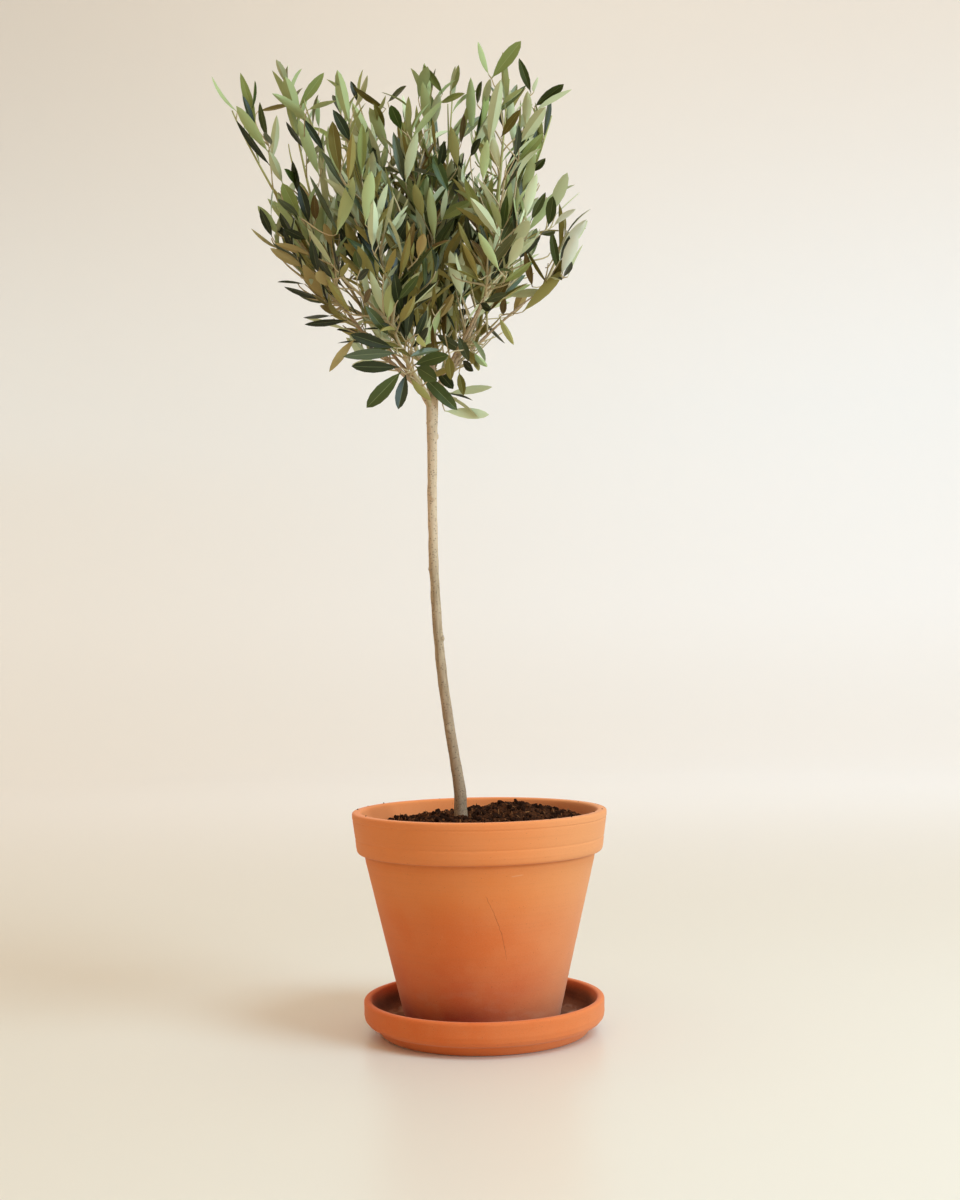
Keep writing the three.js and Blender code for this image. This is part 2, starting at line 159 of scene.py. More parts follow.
class OliveBarkSettings(bpy.types.PropertyGroup):
    pale: colour_property("Pale", "Smooth young bark", srgb(186, 162, 132))
    grey: colour_property("Grey", "Weathered bark", srgb(154, 130, 101))
    dark: colour_property("Dark", "Lenticels and scars", srgb(88, 68, 54))
    twig: colour_property("Twig", "Last year's twigs", srgb(184, 164, 124))
    shoot: colour_property("Shoot", "This year's shoots", srgb(172, 170, 112))
    relief: length_property("Relief", "Depth of the bark's relief", 0.38 * MM)
    voxel: length_property("Grain", "Grain of the bark's surface", 1.0 * MM)


class OliveLeafSettings(bpy.types.PropertyGroup):
    length: length_property("Length", "Length of a grown leaf", 51 * MM)
    width: length_property("Width", "Width of a grown leaf", 9.8 * MM)
    spacing: length_property("Spacing", "From one pair of leaves to the next", 16 * MM)
    shoot_room: length_property("Room", "Room between two shoots in a mass", 32 * MM)
    seed: seed_property("Seed of all growth", 11)


class OliveStageSettings(bpy.types.PropertyGroup):
    ground: colour_property("Ground", "Studio floor and sweep", srgb(223, 217, 204))
    key: number_property("Key", "Power of the key light", 50, "POWER")
    high: number_property("High light", "Power of the high light", 44, "POWER")
    sky: number_property("Sky", "Strength of the light from all round", 1.0)
    wall: number_property("Wall", "How much light the back wall is given of its own", 0.33)


class OliveSettings(bpy.types.PropertyGroup):
    clay: bpy.props.PointerProperty(type=OliveClaySettings)
    soil: bpy.props.PointerProperty(type=OliveSoilSettings)
    bark: bpy.props.PointerProperty(type=OliveBarkSettings)
    leaf: bpy.props.PointerProperty(type=OliveLeafSettings)
    stage: bpy.props.PointerProperty(type=OliveStageSettings)


def settings():
    """The plant's settings, as they stand in the open scene."""
    return bpy.context.scene.olive


# ---- shader maths ------------------------------------------------------------------------


class Num:
    """A number socket; Python's operators on it add Math nodes."""

    def __init__(self, paint, socket):
        self.paint = paint
        self.socket = socket

    def __add__(self, other):
        return self.paint.maths("ADD", self, other)

    def __sub__(self, other):
        return self.paint.maths("SUBTRACT", self, other)

    def __rsub__(self, other):
        return self.paint.maths("SUBTRACT", other, self)

    def __mul__(self, other):
        return self.paint.maths("MULTIPLY", self, other)

    def __truediv__(self, other):
        return self.paint.maths("DIVIDE", self, other)

    def __rtruediv__(self, other):
        return self.paint.maths("DIVIDE", other, self)

    def __pow__(self, other):
        return self.paint.maths("POWER", self, other)

    def __abs__(self):
        return self.paint.maths("ABSOLUTE", self)

    __radd__ = __add__
    __rmul__ = __mul__

    def rise(self, low, high):
        """0 below low, 1 above high, smooth between."""
        return self.paint.node(
            "ShaderNodeMapRange",
            {"interpolation_type": "SMOOTHSTEP"},
            {"Value": self, "From Min": low, "From Max": high},
        )

    def fall(self, low, high):
        """1 below low, 0 above high, smooth between."""
        return 1 - self.rise(low, high)


class Paint:
    """The nodes of one material."""

    def __init__(self, name, **sockets):
        self.material = bpy.data.materials.new(name)
        self.material.use_nodes = True
        self.tree = self.material.node_tree
        self.shader = self.tree.nodes["Principled BSDF"]
        self.set(**sockets)

    def connect(self, socket, value):
        if isinstance(value, Num):
            self.tree.links.new(value.socket, socket)
        elif isinstance(value, bpy.types.NodeSocket):
            self.tree.links.new(value, socket)
        elif socket.type == "RGBA":
            socket.default_value = (*value, 1)[:4]
        else:
            socket.default_value = value

    def set(self, **sockets):
        """Sets or links sockets of the material's shader, such as Base_Color."""
        for name, value in sockets.items():
            self.connect(self.shader.inputs[name.replace("_", " ")], value)

    def node(self, kind, attributes=None, sockets=None, output=0):
        """Adds any node: its attributes first, then the values or links of its sockets."""
        made = self.tree.nodes.new(kind)
        for name, value in (attributes or {}).items():
            setattr(made, name, value)
        by_key = {s.identifier: s for s in made.inputs} | {s.name: s for s in reversed(made.inputs)}
        for name, value in (sockets or {}).items():
            self.connect(by_key[name], value)
        socket = next((s for s in made.outputs if s.identifier == output), None)
        socket = socket or made.outputs[output]
        return Num(self, socket) if socket.type == "VALUE" else socket

    def maths(self, operation, first, second=0.0):
        return self.node(
            "ShaderNodeMath", {"operation": operation}, {"Value": first, "Value_001": second}
        )

    def mix(self, factor, first, second):
        """The first colour at 0 and the second at 1."""
        return self.node(
            "ShaderNodeMix",
            {"data_type": "RGBA"},
            {"Factor_Float": factor, "A_Color": first, "B_Color": second},
            output="Result_Color",
        )

    def place(self):
        """The object's own coordinates, as a vector and as three numbers."""
        vector = self.node("ShaderNodeTexCoord", output="Object")
        split = self.tree.nodes.new("ShaderNodeSeparateXYZ")
        self.tree.links.new(vector, split.inputs[0])
        return vector, *(Num(self, split.outputs[axis]) for axis in range(3))

    def stretched(self, vector, scale):
        """Coordinates with each axis scaled, for grain that runs one way."""
        return self.node(
            "ShaderNodeVectorMath",
            {"operation": "MULTIPLY"},
            {"Vector": vector, "Vector_001": scale},
        )

    def noise(self, vector, scale, detail=3.0, roughness=0.55):
        return self.node(
            "ShaderNodeTexNoise",
            sockets={"Vector": vector, "Scale": scale, "Detail": detail, "Roughness": roughness},
        )

    def specks(self, vector, scale, size):
        """1 in small round specks, 0 between them."""
        near = self.node("ShaderNodeTexVoronoi", sockets={"Vector": vector, "Scale": scale})
        return near.fall(size * 0.6, size)

    def bump(self, height, strength, distance):
        """Relief from a number, in metres at strength 1."""
        self.set(Normal=self.node(
            "ShaderNodeBump",
            sockets={"Height": height, "Strength": strength, "Distance": distance},
        ))


# ---- finishes ----------------------------------------------------------------------------

DUSTY = {
    "Specular_IOR_Level": 0.2,
    "Sheen_Weight": 0.2,
    "Sheen_Roughness": 0.45,
    "Sheen_Tint": (*srgb(250, 232, 214), 1),
}
# What marks the fired clay, and the painted light and shade on it, apart from the tones of the
# settings
CLAY_TONES = {
    "cloud": srgb(224, 144, 92),
    "throwing line": srgb(178, 100, 62),
    "grain": srgb(232, 160, 112),
    "pore": srgb(120, 62, 42),
    "grit": srgb(96, 52, 38),
    "bloom": srgb(196, 140, 116),
    "lit side": srgb(212, 160, 110),
    "painted shade under band": srgb(158, 72, 30),
    "painted_mouth_shade": srgb(178, 92, 52),
    "crack": srgb(120, 56, 30),
    "scratch": srgb(236, 184, 140),
    "saucer foot painted light": srgb(226, 112, 50),
    "saucer lit side": srgb(222, 140, 84),
    "dust": srgb(176, 140, 118),
}
CRACK_TOP = 160 * MM
CRACK_FOOT = 88 * MM
CRACK_PLACE = 4.5 * MM
CRACK_BEND = 6.4  # how quickly it curves, per metre
CRACK_LEAN = -0.52
CRACK_WIDTH = 0.2 * MM
SCRATCH_HEIGHT = 177.5 * MM
SCRATCH_FROM, SCRATCH_TO = 30 * MM, 44 * MM
SCRATCH_SLOPE = 0.12


def fired_clay(paint, vector, colour):
    """Adds the mottle, throwing lines and pores that all the clay shares."""
    cloud = paint.noise(vector, 22, 4)
    grain = paint.noise(vector, 900, 3, 0.7)
    thrown = paint.noise(paint.stretched(vector, (4, 4, 420)), 1, 3)
    pores = paint.specks(vector, 620, 0.16)
    grit = paint.specks(vector, 170, 0.07)
    colour = paint.mix(cloud.rise(0.35, 0.7) * 0.2, colour, CLAY_TONES["cloud"])
    colour = paint.mix(thrown.rise(0.5, 0.8) * 0.1, colour, CLAY_TONES["throwing line"])
    colour = paint.mix(grain.rise(0.3, 0.75) * 0.1, colour, CLAY_TONES["grain"])
    colour = paint.mix(pores * 0.35, colour, CLAY_TONES["pore"])
    colour = paint.mix(grit * 0.5, colour, CLAY_TONES["grit"])
    relief = thrown * 0.3 + grain * 0.35 - pores * 0.5
    return colour, relief, grain


def pot_clay():
    clay = settings().clay
    paint = Paint("pot clay", **DUSTY)
    vector, x, y, z = paint.place()
    sway = (paint.noise(vector, 9, 3) - 0.5) * (34 * MM)
    level = z + sway
    colour = paint.mix(level.rise(14 * MM, 54 * MM), clay.damp, clay.low)
    colour = paint.mix(level.rise(52 * MM, 110 * MM), colour, clay.middle)
    colour = paint.mix(level.rise(112 * MM, 168 * MM), colour, clay.body)
    colour = paint.mix(z.rise(BAND_FOOT - 1 * MM, BAND_FOOT + 3 * MM), colour, clay.band)
    bloom = paint.noise(paint.stretched(vector, (30, 30, 70)), 1, 4).rise(0.5, 0.8)
    bloom = bloom * level.fall(30 * MM, 90 * MM)
    colour = paint.mix(bloom * 0.3, colour, CLAY_TONES["bloom"])
    colour = paint.mix(x.rise(10 * MM, 120 * MM) * 0.4, colour, CLAY_TONES["lit side"])
    # Painted shade: a thin dark line just under the band, where its overhang shades the neck
    shade = z.rise(BAND_FOOT - 5 * MM, BAND_FOOT - 1 * MM) * z.fall(BAND_FOOT, BAND_FOOT + 1 * MM)
    colour = paint.mix(shade * 0.35, colour, CLAY_TONES["painted shade under band"])
    # Painted shade on the inside wall of the mouth above the band's foot, deeper on the right side
    out = paint.maths("SQRT", x * x + y * y)
    painted_mouth_shade = out.fall(RIM_RADIUS - 13 * MM, RIM_RADIUS - 9 * MM)
    painted_mouth_shade = painted_mouth_shade * z.rise(BAND_FOOT, BAND_FOOT + 4 * MM)
    painted_mouth_shade = painted_mouth_shade * (0.3 + 0.4 * x.rise(20 * MM, 90 * MM))
    colour = paint.mix(painted_mouth_shade, colour, CLAY_TONES["painted_mouth_shade"])
    colour, relief, grain = fired_clay(paint, vector, colour)

    # Hairline crack down the front of the body
    down = CRACK_TOP - z
    wander = (paint.noise(vector, 160, 2) - 0.5) * (3.2 * MM)
    line = CRACK_PLACE - down * CRACK_LEAN - down * down * CRACK_BEND / 2 + wander
    front = y.fall(-2 * MM, 0)
    inside = z.rise(CRACK_FOOT, CRACK_FOOT + 14 * MM) * z.fall(CRACK_TOP - 4 * MM, CRACK_TOP)
    crack = abs(x - line).fall(CRACK_WIDTH, 2.4 * CRACK_WIDTH) * front * inside
    colour = paint.mix(crack * 0.34, colour, CLAY_TONES["crack"])
    relief = relief - crack * 0.8

    # Short pale scratch under the band
    off_line = abs(z - SCRATCH_HEIGHT - (x - SCRATCH_FROM) * SCRATCH_SLOPE)
    scratch = off_line.fall(0.3 * MM, 0.8 * MM) * front
    scratch = scratch * x.rise(SCRATCH_FROM, SCRATCH_FROM + 3 * MM)
    scratch = scratch * x.fall(SCRATCH_TO - 3 * MM, SCRATCH_TO)
    colour = paint.mix(scratch * 0.3, colour, CLAY_TONES["scratch"])

    wet = level.fall(14 * MM, 44 * MM)
    paint.set(Base_Color=colour, Roughness=0.9 - wet * 0.22 - grain * 0.1)
    paint.bump(relief, 0.5, 0.5 * MM)
    return paint.material


def saucer_clay():
    clay = settings().clay
    paint = Paint("saucer clay", **DUSTY)
    vector, x, y, z = paint.place()
    out = paint.maths("SQRT", (x - SAUCER_MIDDLE) * (x - SAUCER_MIDDLE) + y * y)
    # Painted light: the foot is lighter than the rest, for light thrown up from the floor
    colour = paint.mix(z.rise(6 * MM, 22 * MM), CLAY_TONES["saucer foot painted light"], clay.saucer)
    inside = out.fall(SAUCER_RADIUS - 10 * MM, SAUCER_RADIUS - 7 * MM)
    above = z - out.rise(SAUCER_RADIUS - 15 * MM, SAUCER_RADIUS - 5 * MM) * (15 * MM)
    inside = inside * above.rise(SAUCER_FLOOR - 1.2 * MM, SAUCER_FLOOR - 0.4 * MM)
    colour = paint.mix(x.rise(10 * MM, 120 * MM) * 0.3, colour, CLAY_TONES["saucer lit side"])
    tide = (paint.noise(vector, 26, 4) - 0.5) * (16 * MM) + z
    colour = paint.mix(inside * tide.fall(26 * MM, 40 * MM), colour, clay.stain)
    dust = paint.noise(vector, 60, 4).rise(0.42, 0.7)
    dust = dust * z.fall(SAUCER_FLOOR + 1 * MM, SAUCER_FLOOR + 4 * MM)
    colour = paint.mix(inside * dust * 0.75, colour, CLAY_TONES["dust"])
    colour, relief, grain = fired_clay(paint, vector, colour)
    paint.set(Base_Color=colour, Roughness=0.92 - grain * 0.12)
    paint.bump(relief, 0.5, 0.5 * MM)
    return paint.material


def soil_finish():
    soil = settings().soil
    paint = Paint("potting soil", Roughness=0.97, Specular_IOR_Level=0.05)
    vector = paint.place()[0]
    lumps = paint.noise(vector, 160, 5, 0.7)
    paint.set(Base_Color=paint.mix(lumps.rise(0.35, 0.7), soil.dark, soil.brown))
    paint.bump(lumps, 0.9, 2 * MM)
    return paint.material


def plain_finish(name, colour, roughness, specular):
    """One colour all over, for small pieces that are dealt their colour one by one."""
    return Paint(
        name, Base_Color=colour, Roughness=roughness, Specular_IOR_Level=specular
    ).material


# What changes along the bark, from the root to the boughs
BARK_TONES = {
    "patch": srgb(178, 140, 116),
    "lower stem": srgb(150, 124, 98),
    "upper stem": srgb(222, 194, 162),
    "bough": srgb(160, 128, 90),
}


def bark_finish():
    bark = settings().bark
    paint = Paint("olive bark", Specular_IOR_Level=0.3)
    vector, _, _, z = paint.place()
    along = paint.stretched(vector, (260, 260, 46))
    streaks = paint.noise(along, 1, 4, 0.6)
    patches = paint.noise(vector, 34, 3)
    lenticels = paint.specks(paint.stretched(vector, (300, 300, 420)), 1, 0.3)
    scurf = paint.noise(vector, 1300, 3, 0.7)
    colour = paint.mix(streaks.rise(0.35, 0.68), bark.pale, bark.grey)
    colour = paint.mix(patches.rise(0.5, 0.72) * 0.4, colour, BARK_TONES["patch"])
    colour = paint.mix(z.fall(260 * MM, 460 * MM) * 0.6, colour, BARK_TONES["lower stem"])
    upper = z.rise(460 * MM, 540 * MM) * z.fall(670 * MM, 710 * MM)
    colour = paint.mix(upper * 0.6, colour, BARK_TONES["upper stem"])
    colour = paint.mix(z.rise(680 * MM, 730 * MM) * 0.55, colour, BARK_TONES["bough"])
    near_soil = z.fall(SOIL_HIGH.z - 4 * MM, SOIL_HIGH.z + 46 * MM)
    colour = paint.mix(near_soil * scurf.rise(0.4, 0.62) * 0.75, colour, bark.dark)
    colour = paint.mix(lenticels * 0.7, colour, bark.dark)
    colour = paint.mix(scurf.rise(0.52, 0.75) * 0.35, colour, bark.dark)
    paint.set(Base_Color=colour, Roughness=0.86 - streaks * 0.12)
    paint.bump(streaks * 0.6 + lenticels * 0.6 + scurf * 0.4, 0.6, 0.5 * MM)
    return paint.material


# Tones of the upper side and of the underside
UPPER_TONES = {
    # dark: the leaves' own dark green, made darker still as painted shade deep in the head
    "dark": (38, 45, 17),
    # blue: the leaves' own blue-grey, with a painted reflection of the sky in it
    "blue": (80, 88, 60),
    "green": (68, 78, 32),
    "vivid": (64, 80, 28),
    "fresh": (136, 146, 80),
    "grey": (106, 109, 69),
    "olive": (107, 95, 36),
    "brown": (99, 77, 30),
}
UNDER_TONES = {
    "silver": (190, 193, 150),
    "pale": (207, 212, 170),
    "white": (224, 224, 204),
    "sage": (169, 177, 120),
    "khaki": (148, 136, 74),
    "ochre": (163, 141, 88),
}
RIB_TONE = (196, 200, 150)
RIB_SHARE = 0.34  # how much of the rib's own tone shows in each leaf
UNDER_OF = {
    "dark": ("silver", "khaki"),
    "blue": ("silver", "pale"),
    "green": ("silver", "sage"),
    "vivid": ("sage", "silver"),
    "fresh": ("sage", "pale"),
    "grey": ("sage", "pale"),
    "olive": ("khaki", "silver"),
    "brown": ("khaki", "ochre"),
}
# How often each kind of spray is dealt the upper tones, in their order above
SPRAY_TONES = {
    # shaded and inner sprays get more of the dark tone, as painted shade deep in the head
    "shaded": (0.52, 0.1, 0.18, 0.04, 0.01, 0.04, 0.08, 0.03),
    "inner": (0.42, 0.04, 0.1, 0.02, 0.0, 0.03, 0.25, 0.14),
    "leafy": (0.42, 0.1, 0.28, 0.06, 0.04, 0.06, 0.04, 0.0),
    "young": (0.1, 0.06, 0.22, 0.08, 0.32, 0.2, 0.02, 0.0),
    # bright sprays, on the right of the head, get fewer dark and more fresh and grey tones, as
    # painted light
    "bright": (0.24, 0.1, 0.22, 0.06, 0.13, 0.21, 0.04, 0.0),
}


def leaf_finishes():
    """Materials of the leaves: upper sides, undersides and ribs, in that order."""
    made = [
        plain_finish(f"leaf {name}", srgb(*tone), 0.42, 0.34)
        for name, tone in UPPER_TONES.items()
    ]
    made += [
        plain_finish(f"underleaf {name}", srgb(*tone), 0.62, 0.25)
        for name, tone in UNDER_TONES.items()
    ]
    for name, tone in UPPER_TONES.items():
        rib = [(1 - RIB_SHARE) * own + RIB_SHARE * pale for own, pale in zip(tone, RIB_TONE)]
        made.append(plain_finish(f"rib {name}", srgb(*rib), 0.5, 0.34))
    return made


# ---- pieces from arrays ------------------------------------------------------------------


def place_piece(piece, slot, *nodes):
    """Rides the piece on the plant's one body, in place of the nodes it stands for."""
    if piece.name not in bpy.context.scene.collection.objects:
        bpy.context.scene.collection.objects.link(piece)
    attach(piece, "root")
    if nodes:
        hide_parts(*nodes)


def make_piece(name, points, faces, finishes, finish_of_face=None, sharp_angle=None):
    mesh = bpy.data.meshes.new(name)
    mesh.from_pydata(points, [], faces)
    for finish in finishes:
        mesh.materials.append(finish)
    if finish_of_face is not None:
        mesh.polygons.foreach_set("material_index", np.asarray(finish_of_face, np.int32))
    mesh.shade_smooth()
    if sharp_angle is not None:
        mesh.set_sharp_from_angle(angle=math.radians(sharp_angle))
    mesh.update()
    return bpy.data.objects.new(name, mesh)


def finished(piece):
    """The piece with its modifiers worked into a plain mesh."""
    if piece.name not in bpy.context.scene.collection.objects:
        bpy.context.scene.collection.objects.link(piece)
    depsgraph = bpy.context.evaluated_depsgraph_get()
    mesh = bpy.data.meshes.new_from_object(piece.evaluated_get(depsgraph), depsgraph=depsgraph)
    piece.modifiers.clear()
    piece.data = mesh
    return piece


def drop(*pieces):
    """Takes away helpers that were only needed to make a piece."""
    for piece in pieces:
        bpy.data.objects.remove(piece)


def unit(vector):
    """Vectors of length one along the last axis."""
    vector = np.asarray(vector, float)
    return vector / np.maximum(np.linalg.norm(vector, axis=-1, keepdims=True), 1e-12)


def arc_corner(before, corner, after, radius, steps=6):
    """Points of a rounded corner of an outline."""
    before, corner, after = (np.array(p, float) for p in (before, corner, after))
    into, out = unit(corner - before), unit(after - corner)
    turn = math.acos(np.clip(into @ out, -1, 1))
    reach = min(
        radius * math.tan(turn / 2),
        0.45 * np.linalg.norm(corner - before),
        0.45 * np.linalg.norm(after - corner),
    )
    start, end = corner - into * reach, corner + out * reach
    ease = np.linspace(0, 1, steps)[:, None]
    return (1 - ease) ** 2 * start + 2 * ease * (1 - ease) * corner + ease**2 * end


def rounded_outline(corners, step):
    """An outline of (radius, height, rounding) corners, with short steps along it."""
    points = [corners[0][:2]]
    for before, corner, after in zip(corners, corners[1:], corners[2:]):
        points.extend(arc_corner(before[:2], corner[:2], after[:2], corner[2]))
    points.append(corners[-1][:2])
    dense = [points[0]]
    for start, end in zip(points, points[1:]):
        span = np.array(end, float) - start
        parts = max(1, math.ceil(np.linalg.norm(span) / step))
        dense.extend(np.array(start) + span * (k + 1) / parts for k in range(parts))
    return np.array(dense, float)


TRUE_MIDDLE = 30 * MM  # nearer the axis than this a turned piece strays less and less


def turned_piece(name, outline, middle, wobble, ridges, finish, segments=144):
    """A thrown clay body about a vertical axis, a little out of true."""
    angles = np.linspace(0, 2 * math.pi, segments, endpoint=False)
    points, rings = [], []
    for radius, height in outline:
        if radius < 1e-6:
            rings.append([len(points)])
            points.append((middle, 0, height))
            continue
        rings.append(list(range(len(points), len(points) + segments)))
        ridge = ridges * noise.noise((0, radius * 200, height * 520))
        for angle in angles:
            around = (math.cos(angle) * 1.2, math.sin(angle) * 1.2, height * 6)
            stray = wobble * noise.noise(around) + ridge
            reach = radius + stray * min(1, radius / TRUE_MIDDLE)
            points.append((middle + reach * math.cos(angle), reach * math.sin(angle), height))
    faces = []
    for low, high in zip(rings, rings[1:]):
        for k in range(segments):
            following = (k + 1) % segments
            if len(low) == 1:
                faces.append((low[0], high[following], high[k]))
            elif len(high) == 1:
                faces.append((low[k], low[following], high[0]))
            else:
                faces.append((low[k], low[following], high[following], high[k]))
    return make_piece(name, points, faces, [finish], sharp_angle=60)


# ---- limbs read from the frame -----------------------------------------------------------


def node_arrays(node):
    """A CAD node's corners and triangles."""
    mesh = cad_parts[node].data
    points = np.empty(len(mesh.vertices) * 3, np.float32)
    mesh.vertices.foreach_get("co", points)
    mesh.calc_loop_triangles()
    triangles = np.empty(len(mesh.loop_triangles) * 3, np.int32)
    mesh.loop_triangles.foreach_get("vertices", triangles)
    return points.reshape(-1, 3).astype(float), triangles.reshape(-1, 3)


def slice_solid(points, triangles, origin, axis):
    """Middle and mean radius of a solid where a plane cuts it."""
    side = (points - origin) @ axis
    middles, weights = [], []
    for corners in triangles[(side[triangles].min(1) < 0) & (side[triangles].max(1) > 0)]:
        ends = []
        for a, b in ((0, 1), (1, 2), (2, 0)):
            p, q = corners[a], corners[b]
            if (side[p] < 0) != (side[q] < 0):
                ends.append(points[p] + (points[q] - points[p]) * side[p] / (side[p] - side[q]))
        middles.append((ends[0] + ends[1]) / 2)
        weights.append(np.linalg.norm(ends[0] - ends[1]))
    middles, weights = np.array(middles), np.array(weights)
    centre = (middles * weights[:, None]).sum(0) / weights.sum()
    radius = (np.linalg.norm(middles - centre, axis=1) * weights).sum() / weights.sum()
    return centre, radius


# Thickness of a round limb against the mean width of its faceted solid
TRUNK_BULK = 1.04
BOUGH_BULK = 0.66
ROOT_FLARE = 1.12
ROOT_DEPTH = 4 * MM  # how far the trunk goes on down into the soil
LIMB_STEP = 5 * MM
TRUNK_SIDES, BOUGH_SIDES, KNOT_SIDES, TWIG_SIDES = 20, 14, 10, 6


def limb_line(node, start=None, cuts=9):
    """Middle line and radii of a limb, from its lower end to its tip."""
    points, triangles = node_arrays(node)
    low = points[points[:, 2].argmin()] if start is None else np.asarray(start, float)
    high = points[np.linalg.norm(points - low, axis=1).argmax()]
    axis = unit(high - low)
    along = (points - low) @ axis
    places = np.linspace(along.min(), along.max(), cuts + 2)[1:-1]
    line = [slice_solid(points, triangles, low + axis * place, axis) for place in places]
    middles = np.array([centre for centre, _ in line])
    bulk = TRUNK_BULK if start is None else BOUGH_BULK
    radii = np.array([radius for _, radius in line]) * bulk
    tip = middles[-1] + (middles[-1] - middles[-2]) * 0.9
    middles = np.vstack([middles, tip])
    radii = np.append(radii, radii[-1] * 0.96)
    if start is not None:
        middles = np.vstack([start, middles])
        radii = np.append(radii[0], radii)
    return middles, radii


def resample(points, radii, step):
    """The same line with even steps, smoothed through its points."""
    lengths = np.append(0, np.cumsum(np.linalg.norm(np.diff(points, axis=0), axis=1)))
    count = max(3, int(lengths[-1] / step) + 1)
    places = np.linspace(0, lengths[-1], count)
    even = np.stack([np.interp(places, lengths, points[:, k]) for k in range(3)], axis=1)
    for _ in range(2):
        even[1:-1] = even[1:-1] * 0.5 + (even[:-2] + even[2:]) * 0.25
    return even, np.interp(places, lengths, radii)


def tube(points, radii, sides):
    """Corners and faces of a round limb with closed ends."""
    tangents = unit(np.gradient(points, axis=0))
    side = unit(np.cross(tangents[0], (0.3, 1.0, 0.1)))
    turns = (np.arange(sides) * 2 * math.pi / sides)[:, None]
    rings = []
    for tangent, middle, radius in zip(tangents, points, radii):
        side = unit(side - tangent * (side @ tangent))
        third = np.cross(tangent, side)
        rings.append(middle + radius * (np.cos(turns) * side + np.sin(turns) * third))
    corners = np.vstack(rings)
    k = np.arange(sides)
    following = (k + 1) % sides
    faces = []
    for row in range(len(points) - 1):
        low, high = row * sides, (row + 1) * sides
        faces.extend(np.stack([low + k, low + following, high + following, high + k], 1).tolist())
    last = (len(points) - 1) * sides
    faces.append(list(range(sides - 1, -1, -1)))
    faces.append(list(range(last, last + sides)))
    return corners, faces


def join_tubes(tubes):
    """One list of corners and one of faces, and the place of each tube's faces in it."""
    corners, faces, owners = [], [], []
    offset = 0
    for number, (points, tube_faces) in enumerate(tubes):
        corners.append(points)
        faces.extend([[k + offset for k in face] for face in tube_faces])
        owners.extend([number] * len(tube_faces))
        offset += len(points)
    return np.vstack(corners), faces, owners


# ---- leaves ------------------------------------------------------------------------------

# Stations along a leaf and the half widths there, slender and blunt, as parts of the half width
LEAF_STATIONS = (0.0, 0.07, 0.17, 0.34, 0.54, 0.74, 0.9)
SLENDER = (0.1, 0.13, 0.52, 0.9, 1.0, 0.76, 0.36)
BLUNT = (0.08, 0.11, 0.38, 0.74, 1.0, 0.96, 0.62)
# Places across a leaf, going once round it: upper side from edge to edge, then the underside
ACROSS = (-1.0, -0.5, -0.045, 0.045, 0.5, 1.0, 0.0)
UPPER_STRIPS, RIB_STRIP = (0, 1, 3, 4), 2
LEAF_THICKNESS = 0.35 * MM


def leaf_template():
    """Faces of one leaf and the kind of each: 0 upper side, 1 underside, 2 rib."""
    sides = len(ACROSS)
    rows = len(LEAF_STATIONS)
    kinds = [0 if k in UPPER_STRIPS else 2 if k == RIB_STRIP else 1 for k in range(sides)]
    quads, tris, quad_kinds, tri_kinds = [], [], [], []
    for row in range(rows - 1):
        for k in range(sides):
            following = (k + 1) % sides
            low, high = row * sides, (row + 1) * sides
            quads.append((low + following, low + k, high + k, high + following))
            quad_kinds.append(kinds[k])
    tip = rows * sides
    last = (rows - 1) * sides
    for k in range(sides):
        tris.append((last + (k + 1) % sides, last + k, tip))
        tri_kinds.append(kinds[k])
    for k in range(1, sides - 1):
        tris.append((0, k, k + 1))
        tri_kinds.append(1)
    return np.array(quads), np.array(tris), np.array(quad_kinds), np.array(tri_kinds)


LEAF_QUADS, LEAF_TRIS, LEAF_QUAD_KINDS, LEAF_TRI_KINDS = leaf_template()


